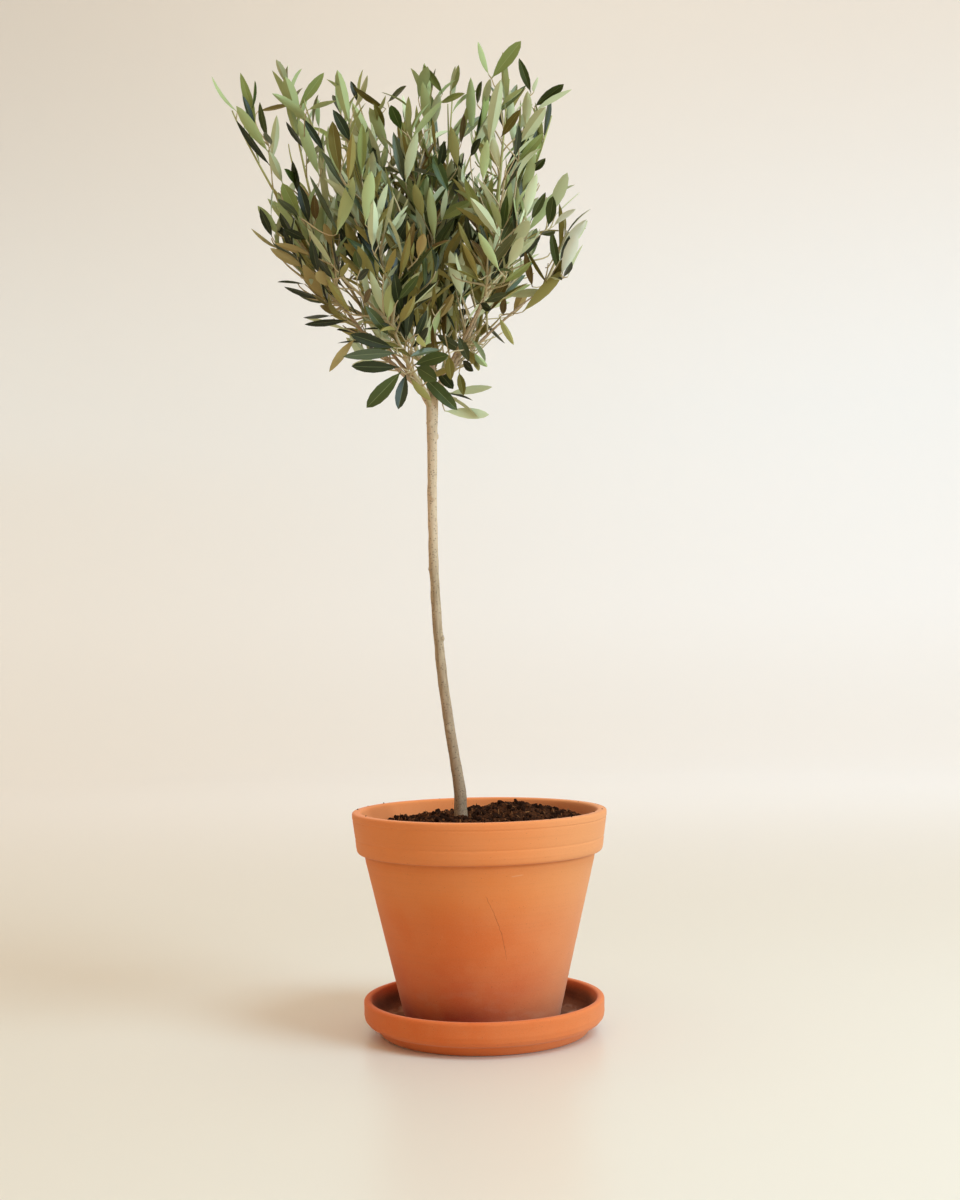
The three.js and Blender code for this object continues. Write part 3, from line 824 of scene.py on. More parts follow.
class Leaves:
    """Leaves gathered one by one, and made into one joined mesh."""

    COLUMNS = ("length", "width", "bend", "sickle", "twist", "fold", "blunt")

    def __init__(self):
        self.base, self.heading, self.face = [], [], []
        self.shape = {name: [] for name in self.COLUMNS}
        self.upper, self.under = [], []

    def add(self, base, heading, face, upper, under, **shape):
        self.base.append(base)
        self.heading.append(heading)
        self.face.append(face)
        self.upper.append(upper)
        self.under.append(under)
        for name in self.COLUMNS:
            self.shape[name].append(shape[name])

    def corners(self):
        """All corners, as leaves by corners by three."""
        base = np.array(self.base)
        heading = unit(np.array(self.heading))
        face = np.array(self.face)
        face = unit(face - heading * (face * heading).sum(1, keepdims=True))
        side = np.cross(heading, face)
        s = {name: np.array(values)[:, None] for name, values in self.shape.items()}
        t = np.append(LEAF_STATIONS, 1.0)[None, :]
        bend = np.where(np.abs(s["bend"]) < 1e-3, 1e-3, s["bend"])
        ahead = s["length"] * np.sin(bend * t) / bend
        lift = -s["length"] * (1 - np.cos(bend * t)) / bend
        drift = s["sickle"] * s["length"] * t**2
        slender, blunt = (np.append(widths, 0)[None, :] for widths in (SLENDER, BLUNT))
        half = s["width"] / 2 * ((1 - s["blunt"]) * slender + s["blunt"] * blunt)
        slope, turn = (bend * t)[..., None], (s["twist"] * t)[..., None]
        heading, face, side = heading[:, None], face[:, None], side[:, None]
        along = np.cos(slope) * heading - np.sin(slope) * face
        out = np.sin(slope) * heading + np.cos(slope) * face
        across = np.cos(turn) * side + np.sin(turn) * out
        out = np.cross(across, along)
        middle = (
            base[:, None]
            + ahead[..., None] * heading
            + lift[..., None] * face
            + drift[..., None] * side
        )
        rows = len(LEAF_STATIONS)
        places = np.array(ACROSS)
        spread = half[:, :rows, None] * places
        raised = s["fold"][..., None] * np.abs(spread) - 0.12 * np.abs(spread) * np.abs(places) ** 3
        under = np.arange(len(places)) == len(places) - 1
        thickness = np.where(under, LEAF_THICKNESS, 0)[None, None, :]
        body = (
            middle[:, :rows, None]
            + spread[..., None] * across[:, :rows, None]
            + (raised - thickness)[..., None] * out[:, :rows, None]
        )
        body = body.reshape(len(base), rows * len(places), 3)
        return np.concatenate([body, middle[:, rows:]], axis=1)

    def piece(self, name, finishes):
        corners = self.corners()
        count, per_leaf = corners.shape[:2]
        offsets = (np.arange(count) * per_leaf)[:, None, None]
        faces = (LEAF_QUADS[None] + offsets).reshape(-1, 4).tolist()
        faces += (LEAF_TRIS[None] + offsets).reshape(-1, 3).tolist()
        upper = np.array(self.upper)[:, None]
        under = np.array(self.under)[:, None] + len(UPPER_TONES)
        rib = np.array(self.upper)[:, None] + len(UPPER_TONES) + len(UNDER_TONES)
        kinds = [
            np.where(kind[None] == 0, upper, np.where(kind[None] == 1, under, rib)).ravel()
            for kind in (LEAF_QUAD_KINDS, LEAF_TRI_KINDS)
        ]
        return make_piece(
            name, corners.reshape(-1, 3), faces, finishes, np.concatenate(kinds), sharp_angle=48
        )


# ---- growth ------------------------------------------------------------------------------

# Radius of a twig at its foot and at its tip
LEADER = (2.1 * MM, 0.75 * MM)
SIDE_SHOOT = (1.25 * MM, 0.6 * MM)
LEAF_TWIG = (0.9 * MM, 0.5 * MM)
SPUR = (1.0 * MM, 0.6 * MM)
ROSETTE_LIMB = (3 * MM, 1.5 * MM)


class Shoot:
    """One twig: its line, its radii, its kind of spray if any, and the share left bare."""

    def __init__(self, points, radii, spray=None, bare=1):
        self.points = points
        self.foot, self.tip = radii
        self.spray = spray
        self.bare = bare

    def headings(self):
        return unit(np.gradient(self.points, axis=0))


def grown_path(start, start_heading, end, end_heading, step=7 * MM):
    """A twig's line that leaves and arrives along the given headings."""
    span = np.linalg.norm(end - start)
    count = max(4, int(span / step) + 1)
    t = np.linspace(0, 1, count)[:, None]
    leave, arrive = start_heading * span * 0.7, end_heading * span * 0.7
    return (
        (2 * t**3 - 3 * t**2 + 1) * start
        + (t**3 - 2 * t**2 + t) * leave
        + (3 * t**2 - 2 * t**3) * end
        + (t**3 - t**2) * arrive
    )


class Mass:
    """A foliage mass of the frame: its corners, its surface, and what lies inside it."""

    def __init__(self, node):
        self.corners, triangles = node_arrays(node)
        self.skin = BVHTree.FromPolygons(self.corners.tolist(), triangles.tolist())

    def holds(self, place):
        """Whether a place is inside."""
        way = Vector((0.31, 0.17, 0.93))
        origin, hits = Vector(place), 0
        hit = self.skin.ray_cast(origin, way)[0]
        while hit is not None:
            hits += 1
            hit = self.skin.ray_cast(hit + way * 1e-5, way)[0]
        return hits % 2 == 1

    def places(self, rng, count):
        """Random places inside."""
        low, high = self.corners.min(0), self.corners.max(0)
        found = []
        while len(found) < count:
            place = low + (high - low) * rng.random(3)
            if self.holds(place):
                found.append(place)
        return np.array(found)

    def kept_near(self, place, reach):
        """The place itself, or the nearest one that is no further out of the mass than reach."""
        near, _, _, gap = self.skin.find_nearest(Vector(place))
        if gap <= reach or self.holds(place):
            return place
        near = np.array(near)
        return near + (place - near) * reach / gap


def spread_out(places, room, taken):
    """Places picked one after another, each far from all those taken, until they crowd."""
    chosen = []
    far = np.min([np.linalg.norm(places - place, axis=1) for place in taken], axis=0)
    while far.max() > room:
        pick = places[far.argmax()]
        chosen.append(pick)
        far = np.minimum(far, np.linalg.norm(places - pick, axis=1))
    return chosen


# Parts of the head, as heights above the fork and distances out from it
YOUNG_HEIGHT = 270 * MM
LOW_HEIGHT = 170 * MM
BRIGHT_SIDE = 100 * MM
SHADED_REACH = 140 * MM
INNER_REACH = 60 * MM


def spray_kind(place, fork, rng):
    """Which colours a spray is dealt, by where it grows."""
    height = place[2] - fork[2]
    out = math.hypot(place[0] - fork[0], place[1] - fork[1])
    if height > YOUNG_HEIGHT and rng.random() < 0.75:
        return "young"
    # Painted light: sprays out on the right are mostly dealt the paler bright tones
    if place[0] - fork[0] > BRIGHT_SIDE and rng.random() < 0.6:
        return "bright"
    # Painted shade: low sprays and those near the fork are mostly dealt the darker inner and shaded
    # tones
    if height < LOW_HEIGHT and rng.random() < 0.65:
        return "inner" if out < SHADED_REACH else "shaded"
    if out < INNER_REACH:
        return "inner"
    return ("leafy", "leafy", "shaded", "bright")[rng.integers(4)]


BEND_COST = 2.2  # how much further off a foot may be that leaves its twig straighter
SHORT_TWIG = 50 * MM  # a twig shorter than this costs more
TOO_DEAR = 9.0


def reach_for(target, shoots, heading=None, least=35 * MM):
    """A twig's line to a target from the best placed point of the shoots, or None."""
    nodes = np.vstack([shoot.points for shoot in shoots])
    headings = np.vstack([shoot.headings() for shoot in shoots])
    gap = target - nodes
    span = np.linalg.norm(gap, axis=1)
    bent = 1 - (unit(gap) * headings).sum(1)
    cost = span * (1 + BEND_COST * bent) + 0.4 * np.maximum(0, SHORT_TWIG - span)
    cost[span < least] = TOO_DEAR
    pick = cost.argmin()
    if cost[pick] >= TOO_DEAR:
        return None
    towards = unit(gap[pick])
    leave = unit(headings[pick] * 0.55 + towards * 0.6)
    arrive = unit(towards * 0.4 + UP * 0.9) if heading is None else unit(towards + heading * 0.7)
    return grown_path(nodes[pick], leave, target, arrive)


SAMPLES = 260  # places picked inside each mass


def grow_mass(mass, bough, fork, rng, leaf, marked):
    """The shoots that fill one mass, from its bough out to its tip and to its marked leaves."""
    samples = mass.places(rng, SAMPLES)
    centre = samples.mean(0)
    nearest = [np.linalg.norm(mass.corners - place, axis=1).min() for place in bough[1:]]
    row = 1 + int(np.argmin(nearest))
    if np.linalg.norm(bough[-1] - centre) < np.linalg.norm(bough[row] - centre) * 1.05:
        row = len(bough) - 1
    start = bough[row]
    heading = unit(bough[row] - bough[row - 1])
    tip = mass.corners[np.linalg.norm(mass.corners - start, axis=1).argmax()]
    out = unit(tip - fork)
    end = tip - unit(tip - start) * leaf.length * 0.75
    towards = unit(end - start)
    leave, arrive = unit(heading * 0.6 + towards), unit(towards + out * 0.2 + UP * 0.4)
    path = grown_path(start, leave, end, arrive)
    shoots = [Shoot(path, LEADER, spray_kind(end, fork, rng), 0.18)]
    add_marked(shoots, marked)

    reach = np.linalg.norm(tip - start)
    far = np.linalg.norm(samples - start, axis=1)
    outer = samples[(far > 0.3 * reach) & (far < reach - leaf.length * 0.4)]
    taken = [end] + [one.foot for one in marked[::2]]
    targets = spread_out(outer, leaf.shoot_room, taken)
    for target in sorted(targets, key=lambda place: np.linalg.norm(place - start)):
        path = reach_for(target, shoots)
        if path is not None:
            shoots.append(Shoot(path, SIDE_SHOOT, spray_kind(target, fork, rng), 0.12))
    return shoots


def add_marked(shoots, marked):
    """A short twig to the foot of each marked leaf."""
    middle = shoots[0].points[0]
    for one in sorted(marked, key=lambda one: np.linalg.norm(one.foot - middle)):
        path = reach_for(one.foot, shoots, one.heading, 2 * MM)
        if path is not None:
            shoots.append(Shoot(path, LEAF_TWIG))


SPURS_EACH = 8


def grow_spurs(bough, rng, leaf):
    """Short leafy twigs along a bough, under the masses."""
    shoots = []
    for _ in range(SPURS_EACH):
        row = rng.integers(2, len(bough) - 1)
        heading = unit(bough[row] - bough[row - 1])
        aside = unit(np.cross(heading, rng.normal(size=3)))
        reach = (aside * 0.8 + heading * 0.6 + UP * 0.35) * leaf.length * rng.uniform(0.5, 1.1)
        end = bough[row] + reach
        path = grown_path(bough[row], unit(heading + aside), end, unit(reach + UP * 0.02))
        shoots.append(Shoot(path, SPUR, "inner", 0.45))
    return shoots


LEAF_OVERHANG = 3 * MM  # how far a grown leaf may stand out of its mass


def seen_at(place):
    """Where the viewer sees a place: across and up a ruler held upright on the pot's axis."""
    eye = np.array(CAMERA_PLACE)
    return eye[0::2] + (place - eye)[0::2] * -eye[1] / (place[1] - eye[1])


def in_gap(base, heading, length):
    """Whether a leaf would close one of the gaps that the sky shows through."""
    for along in (0.3, 0.65, 0.95):
        across, up = seen_at(base + heading * length * along) / MM
        for x, z, half_width, half_height in SKY_GAPS:
            if math.hypot(
                (across - x) / (half_width + GAP_EDGE), (up - z) / (half_height + GAP_EDGE)
            ) < 1:
                return True
    return False


def clothe(shoot, leaves, rng, leaf, mass):
    """Pairs of leaves up a shoot, each pair across the last, and a small pair at its tip."""
    points, headings = shoot.points, shoot.headings()
    lengths = np.append(0, np.cumsum(np.linalg.norm(np.diff(points, axis=0), axis=1)))
    total = lengths[-1]
    chances = np.array(SPRAY_TONES[shoot.spray])
    place = total * shoot.bare + leaf.spacing * rng.uniform(0, 0.6)
    turn = rng.uniform(0, 2 * math.pi)
    side = unit(np.cross(headings[0], (0.2, 0.9, 0.3)))
    while place < total + 1e-6:
        along = place / total
        row = min(int(np.searchsorted(lengths, place)), len(points) - 1)
        middle = np.array([np.interp(place, lengths, points[:, k]) for k in range(3)])
        heading = headings[row]
        side = unit(side - heading * (side @ heading))
        third = np.cross(heading, side)
        thickness = shoot.foot + (shoot.tip - shoot.foot) * along
        at_tip = total - place < leaf.spacing * 0.7
        for opposite in (0, math.pi):
            around = turn + opposite + rng.normal(0, 0.22)
            radial = side * math.cos(around) + third * math.sin(around)
            spread = math.radians(rng.uniform(8, 24) if at_tip else rng.normal(40 - 16 * along, 9))
            towards = heading * math.cos(spread) + radial * math.sin(spread)
            towards = unit(towards + UP * rng.normal(0.18, 0.1))
            size = rng.normal(1.0, 0.12) * (0.88 + 0.26 * math.sin(math.pi * min(1, along + 0.15)))
            size = float(np.clip(size * (rng.uniform(0.65, 0.95) if at_tip else 1), 0.5, 1.25))
            length = leaf.length * size
            base = middle + radial * thickness * 0.6
            tip = base + towards * length
            roll = rng.normal(0, 0.55)
            tone = int(rng.choice(len(chances), p=chances / chances.sum()))
            under = UNDER_OF[list(UPPER_TONES)[tone]][int(rng.random() < 0.35)]
            under = list(UNDER_TONES).index(under)
            shape = {
                "width": leaf.width * rng.uniform(0.78, 1.15),
                "bend": rng.normal(0.22, 0.4),
                "sickle": rng.normal(0, 0.05),
                "twist": rng.normal(0, 0.4),
                "fold": rng.uniform(0.2, 0.75),
                "blunt": rng.uniform(0, 0.5),
            }
            if mass is not None:
                tip = mass.kept_near(tip, LEAF_OVERHANG)
                towards = unit(tip - base)
            if np.linalg.norm(tip - base) < 0.55 * length or in_gap(base, towards, length):
                continue
            length = min(length, np.linalg.norm(tip - base) * 1.1)
            shape["width"] *= (length / leaf.length) ** 0.8
            face = unit(heading - towards * (heading @ towards))
            face = face * math.cos(roll) + np.cross(towards, face) * math.sin(roll)
            leaves.add(base, towards, face, tone, under, length=length, **shape)
        turn += math.pi / 2 + rng.normal(0, 0.15)
        place += leaf.spacing * rng.uniform(0.8, 1.2)


# ---- leaves with a place of their own ----------------------------------------------------

# Gaps that the sky shows through, as the viewer sees them against a ruler held upright on the
# pot's axis: their middle across and up, and half their width and height, in millimetres
SKY_GAPS = (
    (-193, 948, 9, 20), (-180, 926, 8, 13), (-212, 1014, 8, 20), (-152, 995, 5, 12),
    (-170, 988, 4, 8), (-137, 948, 6, 16), (-112, 990, 5, 10), (-166, 897, 6, 12),
    (-152, 905, 4, 6), (-206, 918, 9, 14), (-91, 938, 4, 12), (-25, 975, 9, 20),
    (-48, 962, 3, 9), (-24, 932, 4, 9), (-2, 945, 4, 10), (6, 915, 4, 14),
    (38, 955, 7, 12), (28, 912, 4, 12), (46, 925, 6, 6), (33, 888, 4, 5),
    (76, 900, 8, 14), (68, 872, 5, 8), (78, 826, 9, 24), (45, 868, 4, 5),
    (-45, 903, 3, 5), (-72, 905, 3, 7), (-136, 802, 6, 10), (-125, 795, 5, 6),
    (-175, 832, 5, 4), (-122, 762, 8, 3), (-145, 778, 5, 3), (-92, 840, 3, 6),
    (-5, 770, 10, 5), (24, 762, 12, 5), (40, 771, 6, 7), (-12, 722, 8, 4),
    (0, 745, 5, 8), (-62, 722, 4, 6), (-63, 740, 3, 8), (32, 735, 18, 18),
    (42, 748, 6, 4), (27, 717, 12, 7), (0, 774, 4, 5), (18, 761, 3, 3), (84, 808, 4, 8),
    # outside the outline, from the low left up and round to the right
    (-132, 781, 10, 3), (5, 672, 14, 3), (-135, 706, 14, 2), (-153, 728, 12, 3),
    (-200, 797, 12, 2), (-216, 832, 10, 2),
    (-155, 738, 15, 8), (-170, 775, 11, 2), (-182, 794, 7, 1), (-206, 817, 19, 7),
    (-242, 908, 28, 11), (-250, 930, 31, 13), (-262, 952, 25, 13), (-275, 973, 22, 14),
    (-255, 1004, 5, 9), (-180, 1019, 5, 11), (46, 1014, 5, 7), (67, 1041, 5, 6),
    (99, 962, 14, 22), (93, 938, 11, 14),
)
GAP_EDGE = 2.5  # a leaf's middle stays this much further out of a gap

# Leaves that draw the outline and the front of the head, against the same ruler: foot, tip and
# width as the viewer sees them, and the tone that shows, of the upper side or of the underside
MARKED_LEAVES = (
    # outer left shoots
    ((-248, 984), (-280, 1020), 3, "sage"),
    ((-228, 968), (-243, 1027), 10, "fresh"),
    ((-232, 985), (-228, 1018), 6, "vivid"),
    ((-228, 958), (-240, 1003), 5, "dark"),
    ((-216, 955), (-227, 992), 8, "green"),
    ((-215, 940), (-250, 990), 12, "sage"),
    ((-213, 925), (-250, 975), 6, "dark"),
    ((-225, 985), (-188, 987), 6, "olive"),
    ((-212, 930), (-202, 980), 9, "pale"),
    ((-200, 906), (-214, 940), 10, "silver"),
    ((-212, 948), (-218, 962), 6, "blue"),
    ((-183, 870), (-200, 908), 14, "fresh"),
    ((-185, 905), (-198, 922), 7, "vivid"),
    ((-172, 862), (-182, 905), 11, "dark"),
    ((-183, 893), (-188, 930), 8, "dark"),
    ((-165, 865), (-168, 892), 9, "brown"),
    ((-160, 912), (-182, 976), 12, "sage"),
    ((-181, 972), (-197, 1022), 14, "sage"),
    ((-194, 1012), (-204, 1041), 8, "silver"),
    ((-180, 990), (-155, 1026), 11, "fresh"),
    ((-175, 942), (-197, 972), 5, "dark"),
    ((-155, 940), (-178, 975), 7, "dark"),
    ((-160, 965), (-163, 1000), 7, "sage"),
    ((-138, 915), (-149, 972), 13, "olive"),
    ((-127, 950), (-142, 985), 11, "dark"),
    ((-127, 968), (-142, 1028), 12, "sage"),
    ((-133, 1000), (-150, 1022), 4, "sage"),
    ((-122, 985), (-106, 1022), 5, "silver"),
    ((-88, 985), (-123, 1008), 5, "olive"),
    ((-86, 938), (-105, 988), 12, "sage"),
    ((-90, 962), (-100, 990), 8, "olive"),
    ((-72, 962), (-83, 988), 12, "vivid"),
    ((-70, 905), (-80, 960), 10, "blue"),
    ((-68, 905), (-58, 960), 11, "silver"),
    ((-115, 915), (-113, 970), 10, "fresh"),
    ((-130, 905), (-122, 960), 9, "khaki"),
    ((-143, 850), (-123, 912), 14, "sage"),
    ((-112, 860), (-105, 918), 13, "sage"),
    ((-105, 833), (-102, 887), 11, "pale"),
    ((-100, 860), (-88, 905), 8, "silver"),
    ((-98, 838), (-96, 868), 6, "silver"),
    ((-148, 835), (-155, 862), 9, "ochre"),
    ((-205, 850), (-227, 884), 10, "sage"),
    ((-213, 872), (-211, 900), 4, "blue"),
    ((-183, 870), (-205, 892), 7, "blue"),
    ((-190, 850), (-205, 872), 6, "dark"),
    ((-176, 845), (-197, 856), 8, "dark"),
    ((-140, 850), (-176, 912), 7, "grey"),
    # low left shoots
    ((-205, 835), (-236, 857), 5, "ochre"),
    ((-170, 827), (-208, 842), 8, "ochre"),
    ((-178, 815), (-216, 836), 10, "ochre"),
    ((-157, 779), (-180, 818), 12, "ochre"),
    ((-147, 793), (-168, 812), 12, "ochre"),
    ((-178, 797), (-207, 802), 3, "dark"),
    ((-160, 780), (-200, 795), 3, "dark"),
    ((-140, 765), (-163, 772), 7, "ochre"),
    ((-150, 762), (-181, 764), 4, "dark"),
    ((-133, 757), (-179, 753), 8, "dark"),
    ((-122, 745), (-143, 747), 4, "dark"),
    ((-163, 808), (-172, 844), 8, "dark"),
    ((-148, 802), (-163, 826), 8, "dark"),
    # low front bough
    ((-76, 701), (-113, 662), 15, "green"),
    ((-71, 698), (-80, 661), 12, "dark"),
    ((-78, 706), (-129, 706), 12, "dark"),
    ((-80, 721), (-138, 721), 11, "blue"),
    ((-84, 727), (-130, 741), 12, "dark"),
    ((-88, 740), (-112, 771), 11, "green"),
    ((-90, 757), (-84, 794), 14, "sage"),
    ((-62, 708), (-25, 721), 13, "vivid"),
    ((-60, 706), (-36, 692), 15, "vivid"),
    ((-58, 702), (-17, 658), 15, "green"),
    ((-66, 694), (-45, 667), 8, "khaki"),
    ((-125, 737), (-155, 703), 8, "ochre"),
    ((-32, 724), (-65, 722), 6, "blue"),
    ((-38, 741), (-7, 720), 11, "blue"),
    ((-38, 702), (-20, 683), 12, "dark"),
    ((-93, 762), (-108, 810), 9, "silver"),
    ((-121, 762), (-134, 778), 5, "dark"),
    ((-138, 803), (-133, 821), 8, "khaki"),
    ((-142, 803), (-139, 822), 5, "dark"),
    ((-122, 800), (-108, 812), 7, "dark"),
    ((-115, 775), (-107, 791), 6, "brown"),
    ((-118, 812), (-125, 832), 9, "green"),
    ((-78, 778), (-54, 804), 9, "vivid"),
    ((-70, 735), (-62, 783), 9, "dark"),
    # tuft under the fork
    ((-25, 677), (22, 684), 9, "silver"),
    ((-14, 699), (-9, 674), 9, "olive"),
    ((-30, 658), (18, 653), 12, "pale"),
    ((-10, 712), (0, 700), 6, "dark"),
    ((3, 720), (15, 705), 8, "sage"),
    ((0, 735), (17, 712), 3, "grey"),
    ((10, 757), (36, 730), 5, "blue"),
    ((30, 758), (47, 730), 7, "khaki"),
    ((-14, 738), (-3, 711), 10, "blue"),
    ((-25, 717), (-22, 693), 10, "olive"),
    ((-8, 724), (5, 708), 8, "khaki"),
    ((4, 716), (6, 700), 5, "khaki"),
    ((3, 736), (20, 751), 8, "khaki"),
    ((-4, 767), (-20, 757), 9, "dark"),
    ((-19, 742), (3, 758), 8, "olive"),
    ((-9, 755), (12, 737), 4, "grey"),
    ((10, 773), (23, 765), 7, "dark"),
    ((-57, 741), (-53, 725), 8, "khaki"),
    ((-42, 752), (-37, 724), 6, "brown"),
    ((-26, 776), (-30, 738), 7, "brown"),
    # low right shoots
    ((45, 760), (60, 786), 12, "ochre"),
    ((55, 763), (101, 806), 12, "khaki"),
    ((40, 780), (79, 787), 9, "silver"),
    ((33, 760), (36, 778), 8, "brown"),
    ((66, 790), (59, 828), 8, "brown"),
    ((60, 832), (81, 793), 4, "olive"),
    ((35, 795), (66, 815), 8, "fresh"),
    ((15, 775), (40, 783), 8, "blue"),
    # tops in the middle and on the right, and four short leaves out at the sides
    ((-62, 984), (-87, 1011), 4, "sage"),
    ((-86, 992), (-67, 1010), 4, "green"),
    ((-66, 960), (-61, 998), 7, "sage"),
    ((-98, 982), (-88, 1000), 4, "sage"),
    ((-172, 985), (-141, 993), 5, "sage"),
    ((-167, 967), (-164, 1002), 7, "grey"),
    ((66, 862), (81, 893), 8, "green"),
    ((-212, 848), (-225, 880), 7, "dark"),
    ((-53, 995), (-43, 1033), 12, "sage"),
    ((-27, 1000), (-44, 1036), 8, "fresh"),
    ((-45, 965), (-44, 1014), 11, "sage"),
    ((-37, 965), (-32, 1004), 10, "silver"),
    ((-62, 950), (-28, 995), 7, "sage"),
    ((-30, 990), (-4, 1002), 6, "fresh"),
    ((-18, 1003), (-8, 1031), 6, "sage"),
    ((4, 956), (2, 1018), 11, "sage"),
    ((10, 988), (14, 1012), 5, "green"),
    ((22, 942), (34, 1016), 13, "silver"),
    ((15, 985), (25, 1018), 8, "pale"),
    ((23, 1020), (12, 1056), 5, "sage"),
    ((26, 1016), (59, 1056), 14, "fresh"),
    ((35, 985), (60, 1003), 8, "sage"),
    ((68, 1000), (55, 1039), 9, "green"),
    ((62, 963), (65, 1004), 10, "silver"),
    ((72, 985), (103, 1009), 12, "green"),
    ((72, 980), (111, 1005), 6, "pale"),
    ((71, 1000), (77, 1016), 6, "pale"),
    ((55, 945), (83, 985), 13, "silver"),
    ((53, 925), (81, 956), 10, "fresh"),
    ((57, 885), (72, 938), 11, "sage"),
    ((68, 914), (82, 931), 9, "green"),
    ((50, 930), (55, 966), 7, "dark"),
    ((60, 865), (70, 914), 11, "pale"),
    ((35, 952), (57, 983), 9, "olive"),
    ((15, 905), (18, 950), 10, "sage"),
    ((-12, 920), (-19, 965), 11, "khaki"),
    ((-8, 945), (-5, 977), 7, "brown"),
    ((2, 932), (13, 950), 7, "dark"),
    # front of the middle
    ((-22, 893), (-38, 933), 12, "vivid"),
    ((-35, 863), (2, 884), 12, "fresh"),
    ((-30, 862), (-22, 895), 6, "silver"),
    ((-38, 842), (-43, 900), 10, "sage"),
    ((-50, 866), (-58, 903), 11, "khaki"),
    ((-32, 918), (-25, 947), 8, "dark"),
    ((31, 845), (3, 889), 11, "silver"),
    ((33, 852), (25, 886), 7, "sage"),
    ((35, 852), (41, 889), 8, "vivid"),
    ((43, 834), (67, 862), 13, "pale"),
    ((40, 812), (58, 846), 11, "pale"),
    ((31, 808), (9, 850), 9, "sage"),
    ((52, 820), (77, 846), 7, "dark"),
    ((8, 800), (-9, 840), 6, "khaki"),
    ((-32, 812), (-8, 856), 10, "khaki"),
    ((-56, 823), (-49, 851), 10, "ochre"),
    ((-93, 806), (-77, 835), 6, "khaki"),
    ((-42, 768), (-38, 797), 7, "khaki"),
    # right shoots
    ((84, 866), (108, 912), 13, "silver"),
    ((84, 855), (93, 889), 12, "green"),
    ((93, 868), (119, 892), 4, "pale"),
    ((90, 855), (114, 876), 6, "white"),
    ((97, 828), (125, 863), 11, "white"),
    ((97, 803), (116, 847), 13, "white"),
    ((104, 800), (120, 836), 3, "silver"),
    ((95, 805), (85, 851), 9, "green"),
    ((96, 818), (110, 843), 7, "dark"),
    ((100, 800), (107, 816), 5, "dark"),
    ((76, 846), (93, 851), 5, "green"),
)
LEAF_WIDTH_LEAST = 9 * MM  # a marked leaf that looks narrower than this is seen part edge on
BROAD_LEAF = 11.5 * MM
HANG_OUT = 4 * MM  # how far in front of its mass a marked leaf hangs
LEAST_LENGTH = 42 * MM  # a marked leaf that looks shorter than this leans towards the viewer
LEAN_MOST = 20 * MM
HEAD_NEAR, HEAD_FAR = 1.55, 2.0  # from the viewer, where a mark beside the head is looked for


class MarkedLeaf:
    """One leaf that has a place of its own."""

    def __init__(self, foot, tip, width, tone, way):
        self.foot = foot
        self.span = tip - foot
        self.heading = unit(self.span)
        self.width = width
        self.tone = tone
        self.way = way  # the viewer's line of sight

    def add_to(self, leaves, rng):
        width = max(self.width, LEAF_WIDTH_LEAST)
        roll = math.acos(min(1, self.width / width)) * (1 if rng.random() < 0.5 else -1)
        if self.tone in UPPER_TONES:
            upper, under = self.tone, UNDER_OF[self.tone][0]
            face = -self.way
        else:
            upper = next(name for name, pair in UNDER_OF.items() if self.tone in (*pair, "white"))
            under = self.tone
            face = self.way
        face = unit(face - self.heading * (face @ self.heading) + rng.normal(0, 0.12, 3))
        face = face * math.cos(roll) + np.cross(self.heading, face) * math.sin(roll)
        leaves.add(
            self.foot,
            self.heading,
            face,
            list(UPPER_TONES).index(upper),
            list(UNDER_TONES).index(under),
            length=np.linalg.norm(self.span),
            width=width,
            bend=rng.normal(0.05, 0.12),
            sickle=rng.normal(0, 0.03),
            twist=rng.normal(0, 0.12),
            fold=rng.uniform(0.2, 0.55),
            blunt=0.7 if width > BROAD_LEAF else 0.25,
        )


class Head:
    """All foliage masses as one surface, to find what stands where on its front."""

    def __init__(self, names):
        points, triangles, self.owners = [], [], []
        for name in names:
            corners, faces = node_arrays(f"mass_{name}")
            triangles.extend((faces + len(points)).tolist())
            points.extend(corners.tolist())
            self.owners.extend([name] * len(faces))
        self.skin = BVHTree.FromPolygons(points, triangles)

    def front(self, mark):
        """How far from the viewer, and on which mass, a mark on the ruler is met."""
        eye = Vector(CAMERA_PLACE)
        way = (Vector((mark[0] * MM, 0, mark[1] * MM)) - eye).normalized()
        _, _, face, far = self.skin.ray_cast(eye, way)
        if face is None:
            fars = np.arange(HEAD_NEAR, HEAD_FAR, 0.02)
            tries = [(self.skin.find_nearest(eye + way * far), far) for far in fars]
            (_, _, face, _), far = min(tries, key=lambda one: one[0][3])
        return far, self.owners[face]

    def hang(self, foot, tip, width, tone):
        """The mass that a marked leaf belongs to, and the leaf in its place."""
        eye = np.array(CAMERA_PLACE)
        ways = [unit(np.array([mark[0] * MM, 0, mark[1] * MM]) - eye) for mark in (foot, tip)]
        middle = ((foot[0] + tip[0]) / 2, (foot[1] + tip[1]) / 2)
        far = self.front(middle)[0] - HANG_OUT
        seen = math.dist(foot, tip) * MM
        lean = min(LEAN_MOST, math.sqrt(max(0, LEAST_LENGTH**2 - seen**2)))
        places = [eye + ways[0] * (far + 3 * MM), eye + ways[1] * (far - 2 * MM - lean)]
        return self.front(foot)[1], MarkedLeaf(*places, width * MM, tone, unit(ways[0] + ways[1]))


def marked_by_mass():
    """The marked leaves of every mass."""
    names = [name for masses in BOUGH_MASSES.values() for name in masses] + [TUFT]
    head = Head(names)
    found = {name: [] for name in names}
    for foot, tip, width, tone in MARKED_LEAVES:
        name, one = head.hang(foot, tip, width, tone)
        found[name].append(one)
    return found


# ---- operators ---------------------------------------------------------------------------


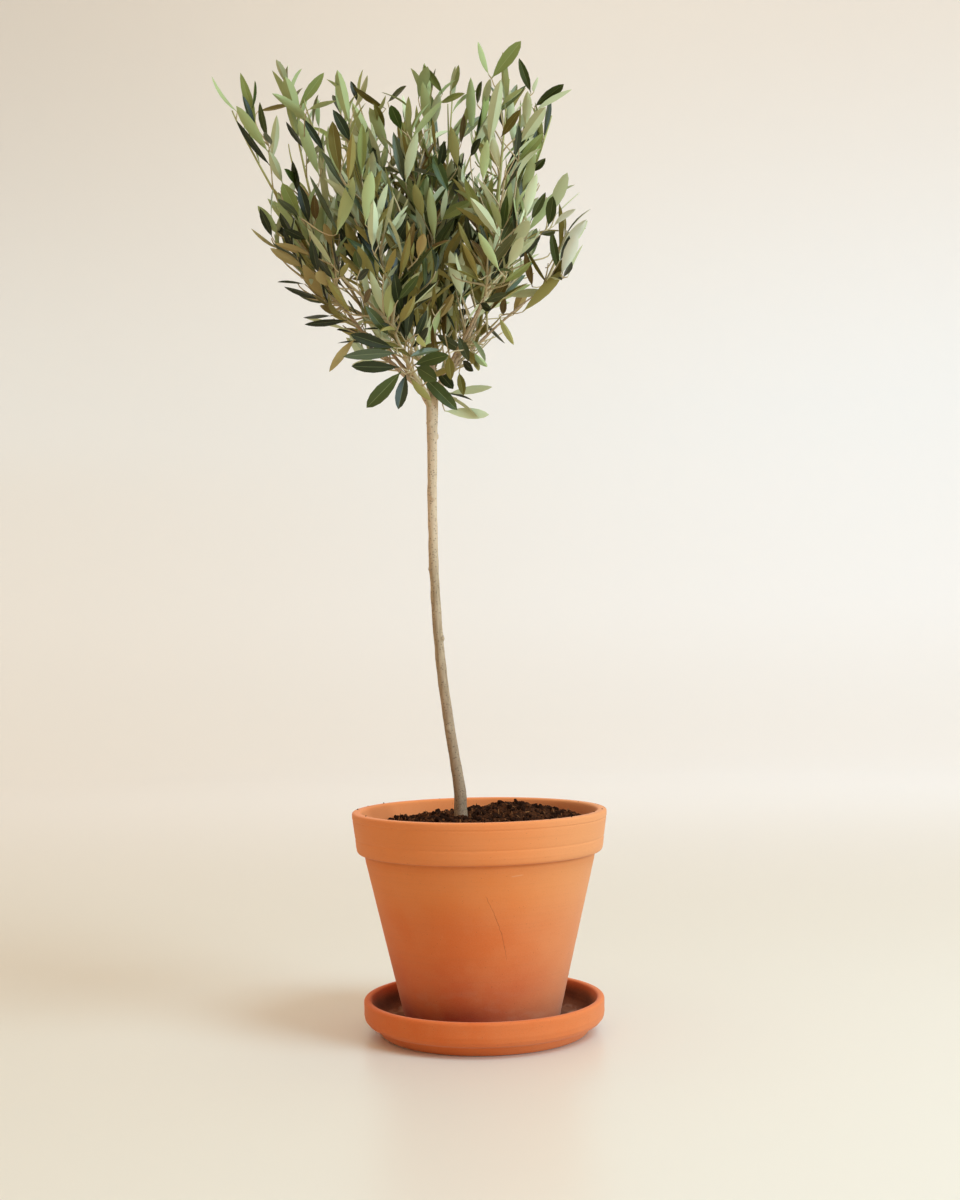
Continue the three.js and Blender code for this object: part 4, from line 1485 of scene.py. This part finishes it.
class OLIVE_OT_pot(bpy.types.Operator):
    """Thrown clay pot with its rim band, in place of the pot of the frame"""

    bl_idname = "olive.pot"
    bl_label = "Clay pot"

    def execute(self, context):
        clay = settings().clay
        lip = RIM_RADIUS - 10 * MM
        inner_neck = NECK_RADIUS - 9.5 * MM
        floor = POT_BASE + 12 * MM
        groove = 0.22 * MM
        ridge_height = BAND_FOOT + 15 * MM
        corners = [
            (0, POT_BASE, 0),
            (BASE_RADIUS + 0.4 * MM, POT_BASE, 2.5 * MM),
            (NECK_RADIUS - 0.6 * MM, BAND_FOOT - 9 * MM, 6 * MM),
            (NECK_RADIUS + 0.6 * MM, BAND_FOOT - 0.5 * MM, 3.2 * MM),
            (BAND_FOOT_RADIUS - 0.5 * MM, BAND_FOOT, 4.5 * MM),
            (BAND_FOOT_RADIUS + 0.9 * MM, BAND_FOOT + 7 * MM, 3 * MM),
            (BAND_FOOT_RADIUS + 1.5 * MM, ridge_height - 1.5 * MM, 1 * MM),
            (BAND_FOOT_RADIUS + 1.5 * MM - groove, ridge_height, 0.8 * MM),
            (BAND_FOOT_RADIUS + 1.9 * MM, ridge_height + 1.8 * MM, 1 * MM),
            (RIM_RADIUS - 0.7 * MM, POT_TOP - 9 * MM, 3 * MM),
            (RIM_RADIUS - 0.9 * MM, POT_TOP - 7.8 * MM, 1 * MM),
            (RIM_RADIUS - 0.2 * MM, POT_TOP - 6.4 * MM, 2 * MM),
            (RIM_RADIUS, POT_TOP, 4.2 * MM),
            (lip, POT_TOP, 3.6 * MM),
            (lip - 2 * MM, POT_TOP - 8 * MM, 6 * MM),
            (inner_neck, BAND_FOOT, 10 * MM),
            (BASE_RADIUS - 7 * MM, floor, 4 * MM),
            (0, floor, 0),
        ]
        outline = rounded_outline(corners, 3.2 * MM)
        piece = turned_piece("pot_body", outline, 0.0, clay.wobble, clay.ridges, pot_clay())
        place_piece(piece, "pot_clay", "pot")
        return {"FINISHED"}


class OLIVE_OT_saucer(bpy.types.Operator):
    """Clay saucer with its stepped foot, in place of the saucer of the frame"""

    bl_idname = "olive.saucer"
    bl_label = "Clay saucer"

    def execute(self, context):
        clay = settings().clay
        radius = SAUCER_RADIUS
        corners = [
            (0, 0, 0),
            (radius - 18.5 * MM, 0, 3 * MM),
            (radius - 14.2 * MM, 5.6 * MM, 5 * MM),
            (radius - 11.5 * MM, 9.4 * MM, 5 * MM),
            (radius - 4.2 * MM, 12.4 * MM, 4 * MM),
            (radius - 0.9 * MM, 16.4 * MM, 5 * MM),
            (radius - 0.2 * MM, 21 * MM, 4 * MM),
            (radius, SAUCER_TOP, 3.6 * MM),
            (radius - 7.4 * MM, SAUCER_TOP, 3.2 * MM),
            (radius - 11 * MM, SAUCER_FLOOR + 7 * MM, 8 * MM),
            (radius - 18 * MM, SAUCER_FLOOR, 6 * MM),
            (0, SAUCER_FLOOR, 0),
        ]
        outline = rounded_outline(corners, 2.6 * MM)
        piece = turned_piece(
            "saucer_body", outline, SAUCER_MIDDLE, clay.wobble, clay.ridges, saucer_clay()
        )
        place_piece(piece, "saucer_clay", "saucer")
        return {"FINISHED"}


# Heaps of soil: their middle, how far they spread, and how high they stand
SOIL_HEAPS = (
    (-62 * MM, 40 * MM, 42 * MM, 4 * MM),
    (10 * MM, 72 * MM, 45 * MM, 4.5 * MM),
    (52 * MM, 66 * MM, 42 * MM, 4.5 * MM),
)
SOIL_EDGE = 116.5 * MM  # further out the soil keeps to the pot's wall
LUMPS_FROM = SOIL_LOW.z + 170 * MM
CRUMBS_FROM = SOIL_LOW.z + 150 * MM
SOIL_GRAIN = 4.5 * MM
FACES_UP = 0.3  # the least upward part of the normal of a face on top


def soil_surface():
    """The soil's fine mesh: the frame's soil, made finer and lumpy on top."""
    points, triangles = node_arrays("soil")
    mesh = bpy.data.meshes.new("soil_fine")
    mesh.from_pydata(points.tolist(), [], triangles.tolist())
    work = bmesh.new()
    work.from_mesh(mesh)
    bmesh.ops.remove_doubles(work, verts=work.verts, dist=0.05 * MM)
    for _ in range(4):
        edges = [
            edge
            for edge in work.edges
            if edge.calc_length() > SOIL_GRAIN
            and any(face.normal.z > FACES_UP for face in edge.link_faces)
        ]
        bmesh.ops.subdivide_edges(work, edges=edges, cuts=1, use_grid_fill=False)
        bmesh.ops.triangulate(work, faces=work.faces)
    for vertex in work.verts:
        place = vertex.co
        if place.z < LUMPS_FROM or place.xy.length > SOIL_EDGE:
            continue
        lump = noise.noise(place * 60) * 3.5 + noise.noise(place * 190) * 2.6
        lump += noise.noise(place * 420)
        for x, y, spread, height in SOIL_HEAPS:
            lump += height * max(0, 1 - math.dist((x, y), place.xy) / spread) / MM
        vertex.co.z += lump * MM
    work.normal_update()
    work.to_mesh(mesh)
    work.free()
    return mesh


class OLIVE_OT_soil(bpy.types.Operator):
    """Potting soil with its lumpy top, in place of the soil of the frame"""

    bl_idname = "olive.soil"
    bl_label = "Soil"

    def execute(self, context):
        mesh = soil_surface()
        mesh.materials.append(soil_finish())
        mesh.shade_smooth()
        piece = bpy.data.objects.new("soil_bed", mesh)
        place_piece(piece, "soil", "soil")
        return {"FINISHED"}


FULL_TURN = 6.283  # a crumb may lie any way round


def scatter_tree():
    """Geometry nodes that strew a shape over a surface, and the keys of their sockets."""
    tree = bpy.data.node_groups.new("strewn crumbs", "GeometryNodeTree")
    face = tree.interface
    face.new_socket(name="Surface", in_out="INPUT", socket_type="NodeSocketGeometry")
    sockets = {}
    for name, kind in (
        ("Shape", "NodeSocketObject"),
        ("Density", "NodeSocketFloat"),
        ("Smallest", "NodeSocketFloat"),
        ("Largest", "NodeSocketFloat"),
        ("Seed", "NodeSocketInt"),
        ("Finish", "NodeSocketMaterial"),
    ):
        made = face.new_socket(name=name, in_out="INPUT", socket_type=kind)
        sockets[name] = made.identifier
    face.new_socket(name="Crumbs", in_out="OUTPUT", socket_type="NodeSocketGeometry")
    add = tree.nodes.new
    given = add("NodeGroupInput")
    result = add("NodeGroupOutput")
    points = add("GeometryNodeDistributePointsOnFaces")
    strew = add("GeometryNodeInstanceOnPoints")
    shape = add("GeometryNodeObjectInfo")
    turn = add("FunctionNodeRandomValue")
    turn.data_type = "FLOAT_VECTOR"
    turn.inputs["Max"].default_value = (FULL_TURN,) * 3
    size = add("FunctionNodeRandomValue")
    size.data_type = "FLOAT"
    realize = add("GeometryNodeRealizeInstances")
    paint = add("GeometryNodeSetMaterial")
    for giver, gift, taker, into in (
        (given, "Surface", points, "Mesh"),
        (given, "Density", points, "Density"),
        (given, "Seed", points, "Seed"),
        (given, "Shape", shape, "Object"),
        (points, "Points", strew, "Points"),
        (shape, "Geometry", strew, "Instance"),
        (turn, 0, strew, "Rotation"),
        (given, "Smallest", size, 2),
        (given, "Largest", size, 3),
        (given, "Seed", size, "Seed"),
        (size, 1, strew, "Scale"),
        (strew, "Instances", realize, 0),
        (realize, 0, paint, "Geometry"),
        (given, "Finish", paint, "Material"),
        (paint, 0, result, 0),
    ):
        tree.links.new(giver.outputs[gift], taker.inputs[into])
    return tree, sockets


def plain_mesh(name, work):
    """The mesh that was worked on, as a plain one."""
    mesh = bpy.data.meshes.new(name)
    work.to_mesh(mesh)
    work.free()
    return mesh


def crumb_shape(name, detail, stretch, seed):
    """An uneven crumb, one unit across."""
    work = bmesh.new()
    bmesh.ops.create_icosphere(work, subdivisions=detail, radius=0.5)
    for vertex in work.verts:
        push = 1 + 0.55 * noise.noise(vertex.co * 2.3 + Vector((seed, 0, 0)))
        vertex.co = Vector((vertex.co.x * stretch, vertex.co.y, vertex.co.z * 0.85)) * push
    shape = bpy.data.objects.new(name, plain_mesh(name, work))
    bpy.context.scene.collection.objects.link(shape)
    return shape


def soil_top():
    """The part of the soil bed that crumbs lie on."""
    work = bmesh.new()
    work.from_mesh(bpy.data.objects["soil_bed"].data)
    hidden = [
        face
        for face in work.faces
        if face.normal.z < FACES_UP or face.calc_center_median().z < CRUMBS_FROM
    ]
    bmesh.ops.delete(work, geom=hidden, context="FACES")
    return plain_mesh("soil_top", work)


def rim_top():
    """A ring on the pot's rim that crumbs lie on."""
    work = bmesh.new()
    bmesh.ops.create_cone(
        work,
        segments=48,
        radius1=RIM_RADIUS - 2 * MM,
        radius2=RIM_RADIUS - 9 * MM,
        depth=0.02 * MM,
    )
    bmesh.ops.translate(work, verts=work.verts, vec=(0, 0, POT_TOP))
    return plain_mesh("rim_top", work)


def strewn(name, surface, tree, sockets, **values):
    """A plain mesh of crumbs strewn over a surface."""
    holder = bpy.data.objects.new(name, surface)
    bpy.context.scene.collection.objects.link(holder)
    modifier = holder.modifiers.new("crumbs", "NODES")
    modifier.node_group = tree
    for key, value in values.items():
        modifier[sockets[key]] = value
    return finished(holder)


class OLIVE_OT_crumbs(bpy.types.Operator):
    """Crumbs, bark chips and fibres on the soil, and a few crumbs on the pot's rim"""

    bl_idname = "olive.crumbs"
    bl_label = "Soil crumbs"

    def execute(self, context):
        soil = settings().soil
        tree, sockets = scatter_tree()
        bed, rim = soil_top(), rim_top()
        lump = crumb_shape("crumb_lump", 2, 1.15, 1)
        grain = crumb_shape("crumb_grain", 1, 1.2, 5)
        fibre = crumb_shape("crumb_fibre", 1, 4.5, 9)
        finishes = {
            "dark": plain_finish("wet peat", soil.dark, 0.96, 0.05),
            "brown": plain_finish("dry peat", soil.brown, 0.97, 0.05),
            "fibre": plain_finish("bark chips", soil.fibre, 0.9, 0.1),
        }
        # Where and what, then the share of the density and of the smallest and largest size
        layers = (
            ("crumbs_dark", bed, lump, 0.15, 1.5, 1.9, "dark"),
            ("crumbs_fine", bed, grain, 0.55, 0.8, 0.7, "dark"),
            ("crumbs_brown", bed, grain, 0.6, 0.7, 0.95, "brown"),
            ("crumbs_fibre", bed, fibre, 0.1, 0.5, 0.55, "fibre"),
            ("crumbs_rim", rim, grain, 0.05, 0.6, 0.6, "dark"),
        )
        for number, (name, surface, shape, share, small, large, finish) in enumerate(layers):
            piece = strewn(
                name,
                surface,
                tree,
                sockets,
                Shape=shape,
                Density=soil.density * share,
                Smallest=soil.smallest * small,
                Largest=soil.largest * large,
                Seed=soil.seed + number,
                Finish=finishes[finish],
            )
            place_piece(piece, "soil")
        drop(lump, grain, fibre)
        return {"FINISHED"}


KNOTS = (  # height above the soil, the way it faces in degrees, and size
    (92 * MM, 250, 2.4 * MM),
    (188 * MM, 330, 2.8 * MM),
    (262 * MM, 205, 2.2 * MM),
    (338 * MM, 285, 2.6 * MM),
    (404 * MM, 20, 3.2 * MM),
    (418 * MM, 235, 3.4 * MM),
)


def vertex_arrays(mesh):
    """The corners of a mesh and the way each faces."""
    places = np.empty(len(mesh.vertices) * 3, np.float32)
    normals = np.empty(len(mesh.vertices) * 3, np.float32)
    mesh.vertices.foreach_get("co", places)
    mesh.vertices.foreach_get("normal", normals)
    return places.reshape(-1, 3), normals.reshape(-1, 3)


def bark_height(place):
    """How far the bark stands out, in parts of its relief."""
    long_grain = noise.noise(Vector((place.x * 330, place.y * 330, place.z * 60)))
    return 0.9 * long_grain + 0.9 * noise.noise(place * 70) + 0.35 * noise.noise(place * 700)


def limb_lines():
    """The trunk's line and each bough's, with radii, boughs starting inside the fork."""
    trunk = limb_line("trunk", cuts=17)
    low = trunk[0][0].copy()
    low[2] = TRUNK_LOW.z - ROOT_DEPTH
    trunk = np.vstack([low, trunk[0]]), np.append(trunk[1][0] * ROOT_FLARE, trunk[1])
    fork = trunk[0][-2]
    boughs = {name: limb_line(name, start=fork) for name in BOUGH_MASSES}
    return trunk, boughs, fork


class OLIVE_OT_bark(bpy.types.Operator):
    """Trunk and boughs in one skin of bark, in place of the limbs of the frame"""

    bl_idname = "olive.bark"
    bl_label = "Trunk and boughs"

    def execute(self, context):
        bark = settings().bark
        trunk, boughs, _ = limb_lines()
        tubes = [tube(*resample(*trunk, LIMB_STEP), TRUNK_SIDES)]
        tubes += [tube(*resample(*line, LIMB_STEP), BOUGH_SIDES) for line in boughs.values()]
        for height, turn, size in KNOTS:
            level, way = TRUNK_LOW.z + height, math.radians(turn)
            row = np.abs(trunk[0][:, 2] - level).argmin()
            middle = np.array([np.interp(level, trunk[0][:, 2], axis) for axis in trunk[0].T])
            aside = np.array([math.cos(way), math.sin(way), 0.25])
            knot = np.array([middle, middle + aside * (trunk[1][row] + size * 0.35)])
            tubes.append(tube(*resample(knot, np.array([size * 1.5, size]), size), KNOT_SIDES))
        points, faces, _ = join_tubes(tubes)
        piece = make_piece("stem_and_boughs", points, faces, [bark_finish()])
        skin = piece.modifiers.new("one skin", "REMESH")
        skin.mode = "VOXEL"
        skin.voxel_size = bark.voxel
        smooth = piece.modifiers.new("soft forks", "SMOOTH")
        smooth.factor = 0.5
        smooth.iterations = 7
        piece = finished(piece)
        mesh = piece.data
        places, normals = vertex_arrays(mesh)
        push = [bark.relief * bark_height(Vector(place)) for place in places]
        mesh.vertices.foreach_set("co", (places + normals * np.array(push)[:, None]).ravel())
        mesh.shade_smooth()
        place_piece(piece, "bark", "trunk", *boughs)
        return {"FINISHED"}


class Twigs:
    """Twigs gathered one by one, and made into one joined mesh."""

    def __init__(self):
        self.tubes, self.finishes = [], []

    def add(self, shoot):
        radii = np.linspace(shoot.foot, shoot.tip, len(shoot.points))
        self.tubes.append(tube(shoot.points, radii, TWIG_SIDES))
        self.finishes.append(1 if shoot.spray == "young" else 0)

    def piece(self, name, finishes):
        points, faces, owners = join_tubes(self.tubes)
        return make_piece(name, points, faces, finishes, [self.finishes[k] for k in owners])


def finish_shoots(shoots, twigs, leaves, rng, leaf, mass=None):
    """Leaves up every shoot that bears some, and the shoots' own wood."""
    for shoot in shoots:
        if shoot.spray:
            clothe(shoot, leaves, rng, leaf, mass)
        twigs.add(shoot)


TRUNK_TOP_POINTS = 6  # of the trunk's line, for the tuft to grow from
SPUR_SEED = 50  # a bough's spurs are grown from this much beyond its own seed


class OLIVE_OT_foliage(bpy.types.Operator):
    """Twigs and leaves grown from the boughs, in place of the masses of the frame"""

    bl_idname = "olive.foliage"
    bl_label = "Twigs and leaves"

    def execute(self, context):
        leaf, bark = settings().leaf, settings().bark
        trunk, boughs, fork = limb_lines()
        finishes = leaf_finishes()
        twig_finishes = [
            plain_finish("twig bark", bark.twig, 0.8, 0.3),
            plain_finish("shoot bark", bark.shoot, 0.7, 0.3),
        ]
        marked = marked_by_mass()
        twigs = Twigs()
        for number, (bough, masses) in enumerate(BOUGH_MASSES.items()):
            seed = leaf.seed + 100 * number
            line = boughs[bough][0]
            leaves = Leaves()
            limbs = {name: line for name in masses}
            if bough == TUFT_BOUGH:
                limbs[TUFT] = trunk[0][-TRUNK_TOP_POINTS:]
            for offset, (name, limb) in enumerate(limbs.items()):
                rng = np.random.default_rng(seed + offset)
                mass = Mass(f"mass_{name}")
                if name == ROSETTE_MASS:
                    shoots = [Shoot(limb, ROSETTE_LIMB)]
                    add_marked(shoots, marked[name])
                else:
                    shoots = grow_mass(mass, limb, fork, rng, leaf, marked[name])
                finish_shoots(shoots, twigs, leaves, rng, leaf, mass)
                for one in marked[name]:
                    one.add_to(leaves, rng)
            rng = np.random.default_rng(seed + SPUR_SEED)
            finish_shoots(grow_spurs(line, rng, leaf), twigs, leaves, rng, leaf)
            piece = leaves.piece(bough.replace("bough", "leaves"), finishes)
            place_piece(piece, "foliage", *(f"mass_{name}" for name in limbs))
        place_piece(twigs.piece("twigs", twig_finishes), "bark")
        return {"FINISHED"}


# Light, as red, green and blue: warm from the room, cooler from the key light and on the wall
ROOM_LIGHT = (1.03, 0.79, 0.56)
WALL_LIGHT = (0.48, 0.73, 1.0)
KEY_COLOUR = (0.66, 0.98, 1.22)
# The area lights: where each stands, what it points at, and its sides
KEY_PLACE, KEY_AIM, KEY_SIDES = (2.5, -1.55, 1.2), (0, 0, 0.45), (1.3, 1.15)
HIGH_PLACE, HIGH_AIM, HIGH_SIDES = (1.6, -1.1, 2.9), (0, 0, 0.6), (1.3, 1.3)
SWEEP_FLAT, SWEEP_CURVE, SWEEP_TOP = 3.2, 1.3, 4.4
SWEEP_DROP = 0.2 * MM  # the floor lies this far under the saucer


def area_light(name, place, aim, size, power, colour):
    light = bpy.data.lights.new(name, "AREA")
    light.shape = "RECTANGLE"
    light.size, light.size_y = size
    light.energy = power
    light.color = colour
    lamp = bpy.data.objects.new(name, light)
    lamp.location = place
    lamp.rotation_euler = (Vector(aim) - Vector(place)).to_track_quat("-Z", "Y").to_euler()
    bpy.context.scene.collection.objects.link(lamp)


def sweep_finish():
    """Pale paint, shaded up the left of the wall, and lit up the right."""
    stage = settings().stage
    paint = Paint("studio sweep", Roughness=0.34, Specular_IOR_Level=0.32)
    _, x, y, z = paint.place()
    ground = paint.mix(y.rise(0.5, 3.0), stage.ground, srgb(238, 233, 224))
    corner = x.fall(-2.6, 0.2) * z.rise(0.6, 3.2)
    lit = y.rise(0.4, 2.8) * (0.26 + 0.74 * x.rise(-2.4, 2.2))
    lit = lit * (0.65 + 0.35 * z.rise(0, 0.6)) * (1 - 0.48 * z.rise(1.2, 3.0))
    paint.set(
        Base_Color=paint.mix(corner * 0.75, ground, srgb(207, 203, 197)),
        Emission_Color=paint.mix(lit, (0, 0, 0), WALL_LIGHT),
        Emission_Strength=stage.wall,
    )
    return paint.material


def studio_sweep():
    """Floor and wall in one round sheet."""
    outline = [(0, -SWEEP_DROP), (SWEEP_FLAT, -SWEEP_DROP)]
    for ease in np.linspace(0, math.pi / 2, 14)[1:]:
        up = SWEEP_CURVE * (1 - math.cos(ease))
        outline.append((SWEEP_FLAT + SWEEP_CURVE * math.sin(ease), up))
    outline.append((SWEEP_FLAT + SWEEP_CURVE, SWEEP_TOP))
    sweep = turned_piece("studio_sweep", outline, 0.0, 0.0, 0.0, sweep_finish(), segments=96)
    sweep.data.flip_normals()
    return sweep


def room_air(strength):
    """Light from all round."""
    world = bpy.data.worlds.new("studio air")
    world.use_nodes = True
    air = world.node_tree.nodes["Background"]
    air.inputs["Color"].default_value = (*ROOM_LIGHT, 1)
    air.inputs["Strength"].default_value = strength
    return world


def viewer_camera():
    camera = bpy.data.objects.new("camera", bpy.data.cameras.new("camera"))
    camera.data.lens = CAMERA_LENS
    camera.matrix_world = (
        Matrix.Translation(CAMERA_PLACE)
        @ Matrix.Rotation(math.pi / 2 + CAMERA_TILT, 4, "X")
        @ Matrix.Rotation(-CAMERA_ROLL, 4, "Z")
    )
    return camera


class OLIVE_OT_stage(bpy.types.Operator):
    """Pale studio sweep, soft lights and the camera"""

    bl_idname = "olive.stage"
    bl_label = "Stage"

    def execute(self, context):
        stage, scene = settings().stage, context.scene
        sweep = studio_sweep()
        scene.collection.objects.link(sweep)
        area_light("key", KEY_PLACE, KEY_AIM, KEY_SIDES, stage.key, KEY_COLOUR)
        area_light("high", HIGH_PLACE, HIGH_AIM, HIGH_SIDES, stage.high, KEY_COLOUR)
        scene.world = room_air(stage.sky)
        scene.camera = viewer_camera()
        scene.collection.objects.link(scene.camera)
        scene.view_settings.view_transform = "Standard"
        return {"FINISHED"}


OPERATORS = (
    OLIVE_OT_pot,
    OLIVE_OT_saucer,
    OLIVE_OT_soil,
    OLIVE_OT_crumbs,
    OLIVE_OT_bark,
    OLIVE_OT_foliage,
    OLIVE_OT_stage,
)


class OLIVE_PT_panel(bpy.types.Panel):
    bl_label = "Potted olive tree"
    bl_idname = "OLIVE_PT_panel"
    bl_space_type = "VIEW_3D"
    bl_region_type = "UI"
    bl_category = "Olive tree"

    def draw(self, context):
        for group in ("clay", "soil", "bark", "leaf", "stage"):
            box = self.layout.box()
            box.label(text=group.capitalize())
            values = getattr(context.scene.olive, group)
            for name in values.__annotations__:
                box.prop(values, name)
        for operator in OPERATORS:
            self.layout.operator(operator.bl_idname)


CLASSES = (
    OliveClaySettings,
    OliveSoilSettings,
    OliveBarkSettings,
    OliveLeafSettings,
    OliveStageSettings,
    OliveSettings,
    *OPERATORS,
    OLIVE_PT_panel,
)


def register():
    for cls in CLASSES:
        bpy.utils.register_class(cls)
    bpy.types.Scene.olive = bpy.props.PointerProperty(type=OliveSettings)


def unregister():
    del bpy.types.Scene.olive
    for cls in reversed(CLASSES):
        bpy.utils.unregister_class(cls)


def main():
    register()
    for operator in OPERATORS:
        group, name = operator.bl_idname.split(".")
        getattr(getattr(bpy.ops, group), name)()


if __name__ == "__main__":
    main()
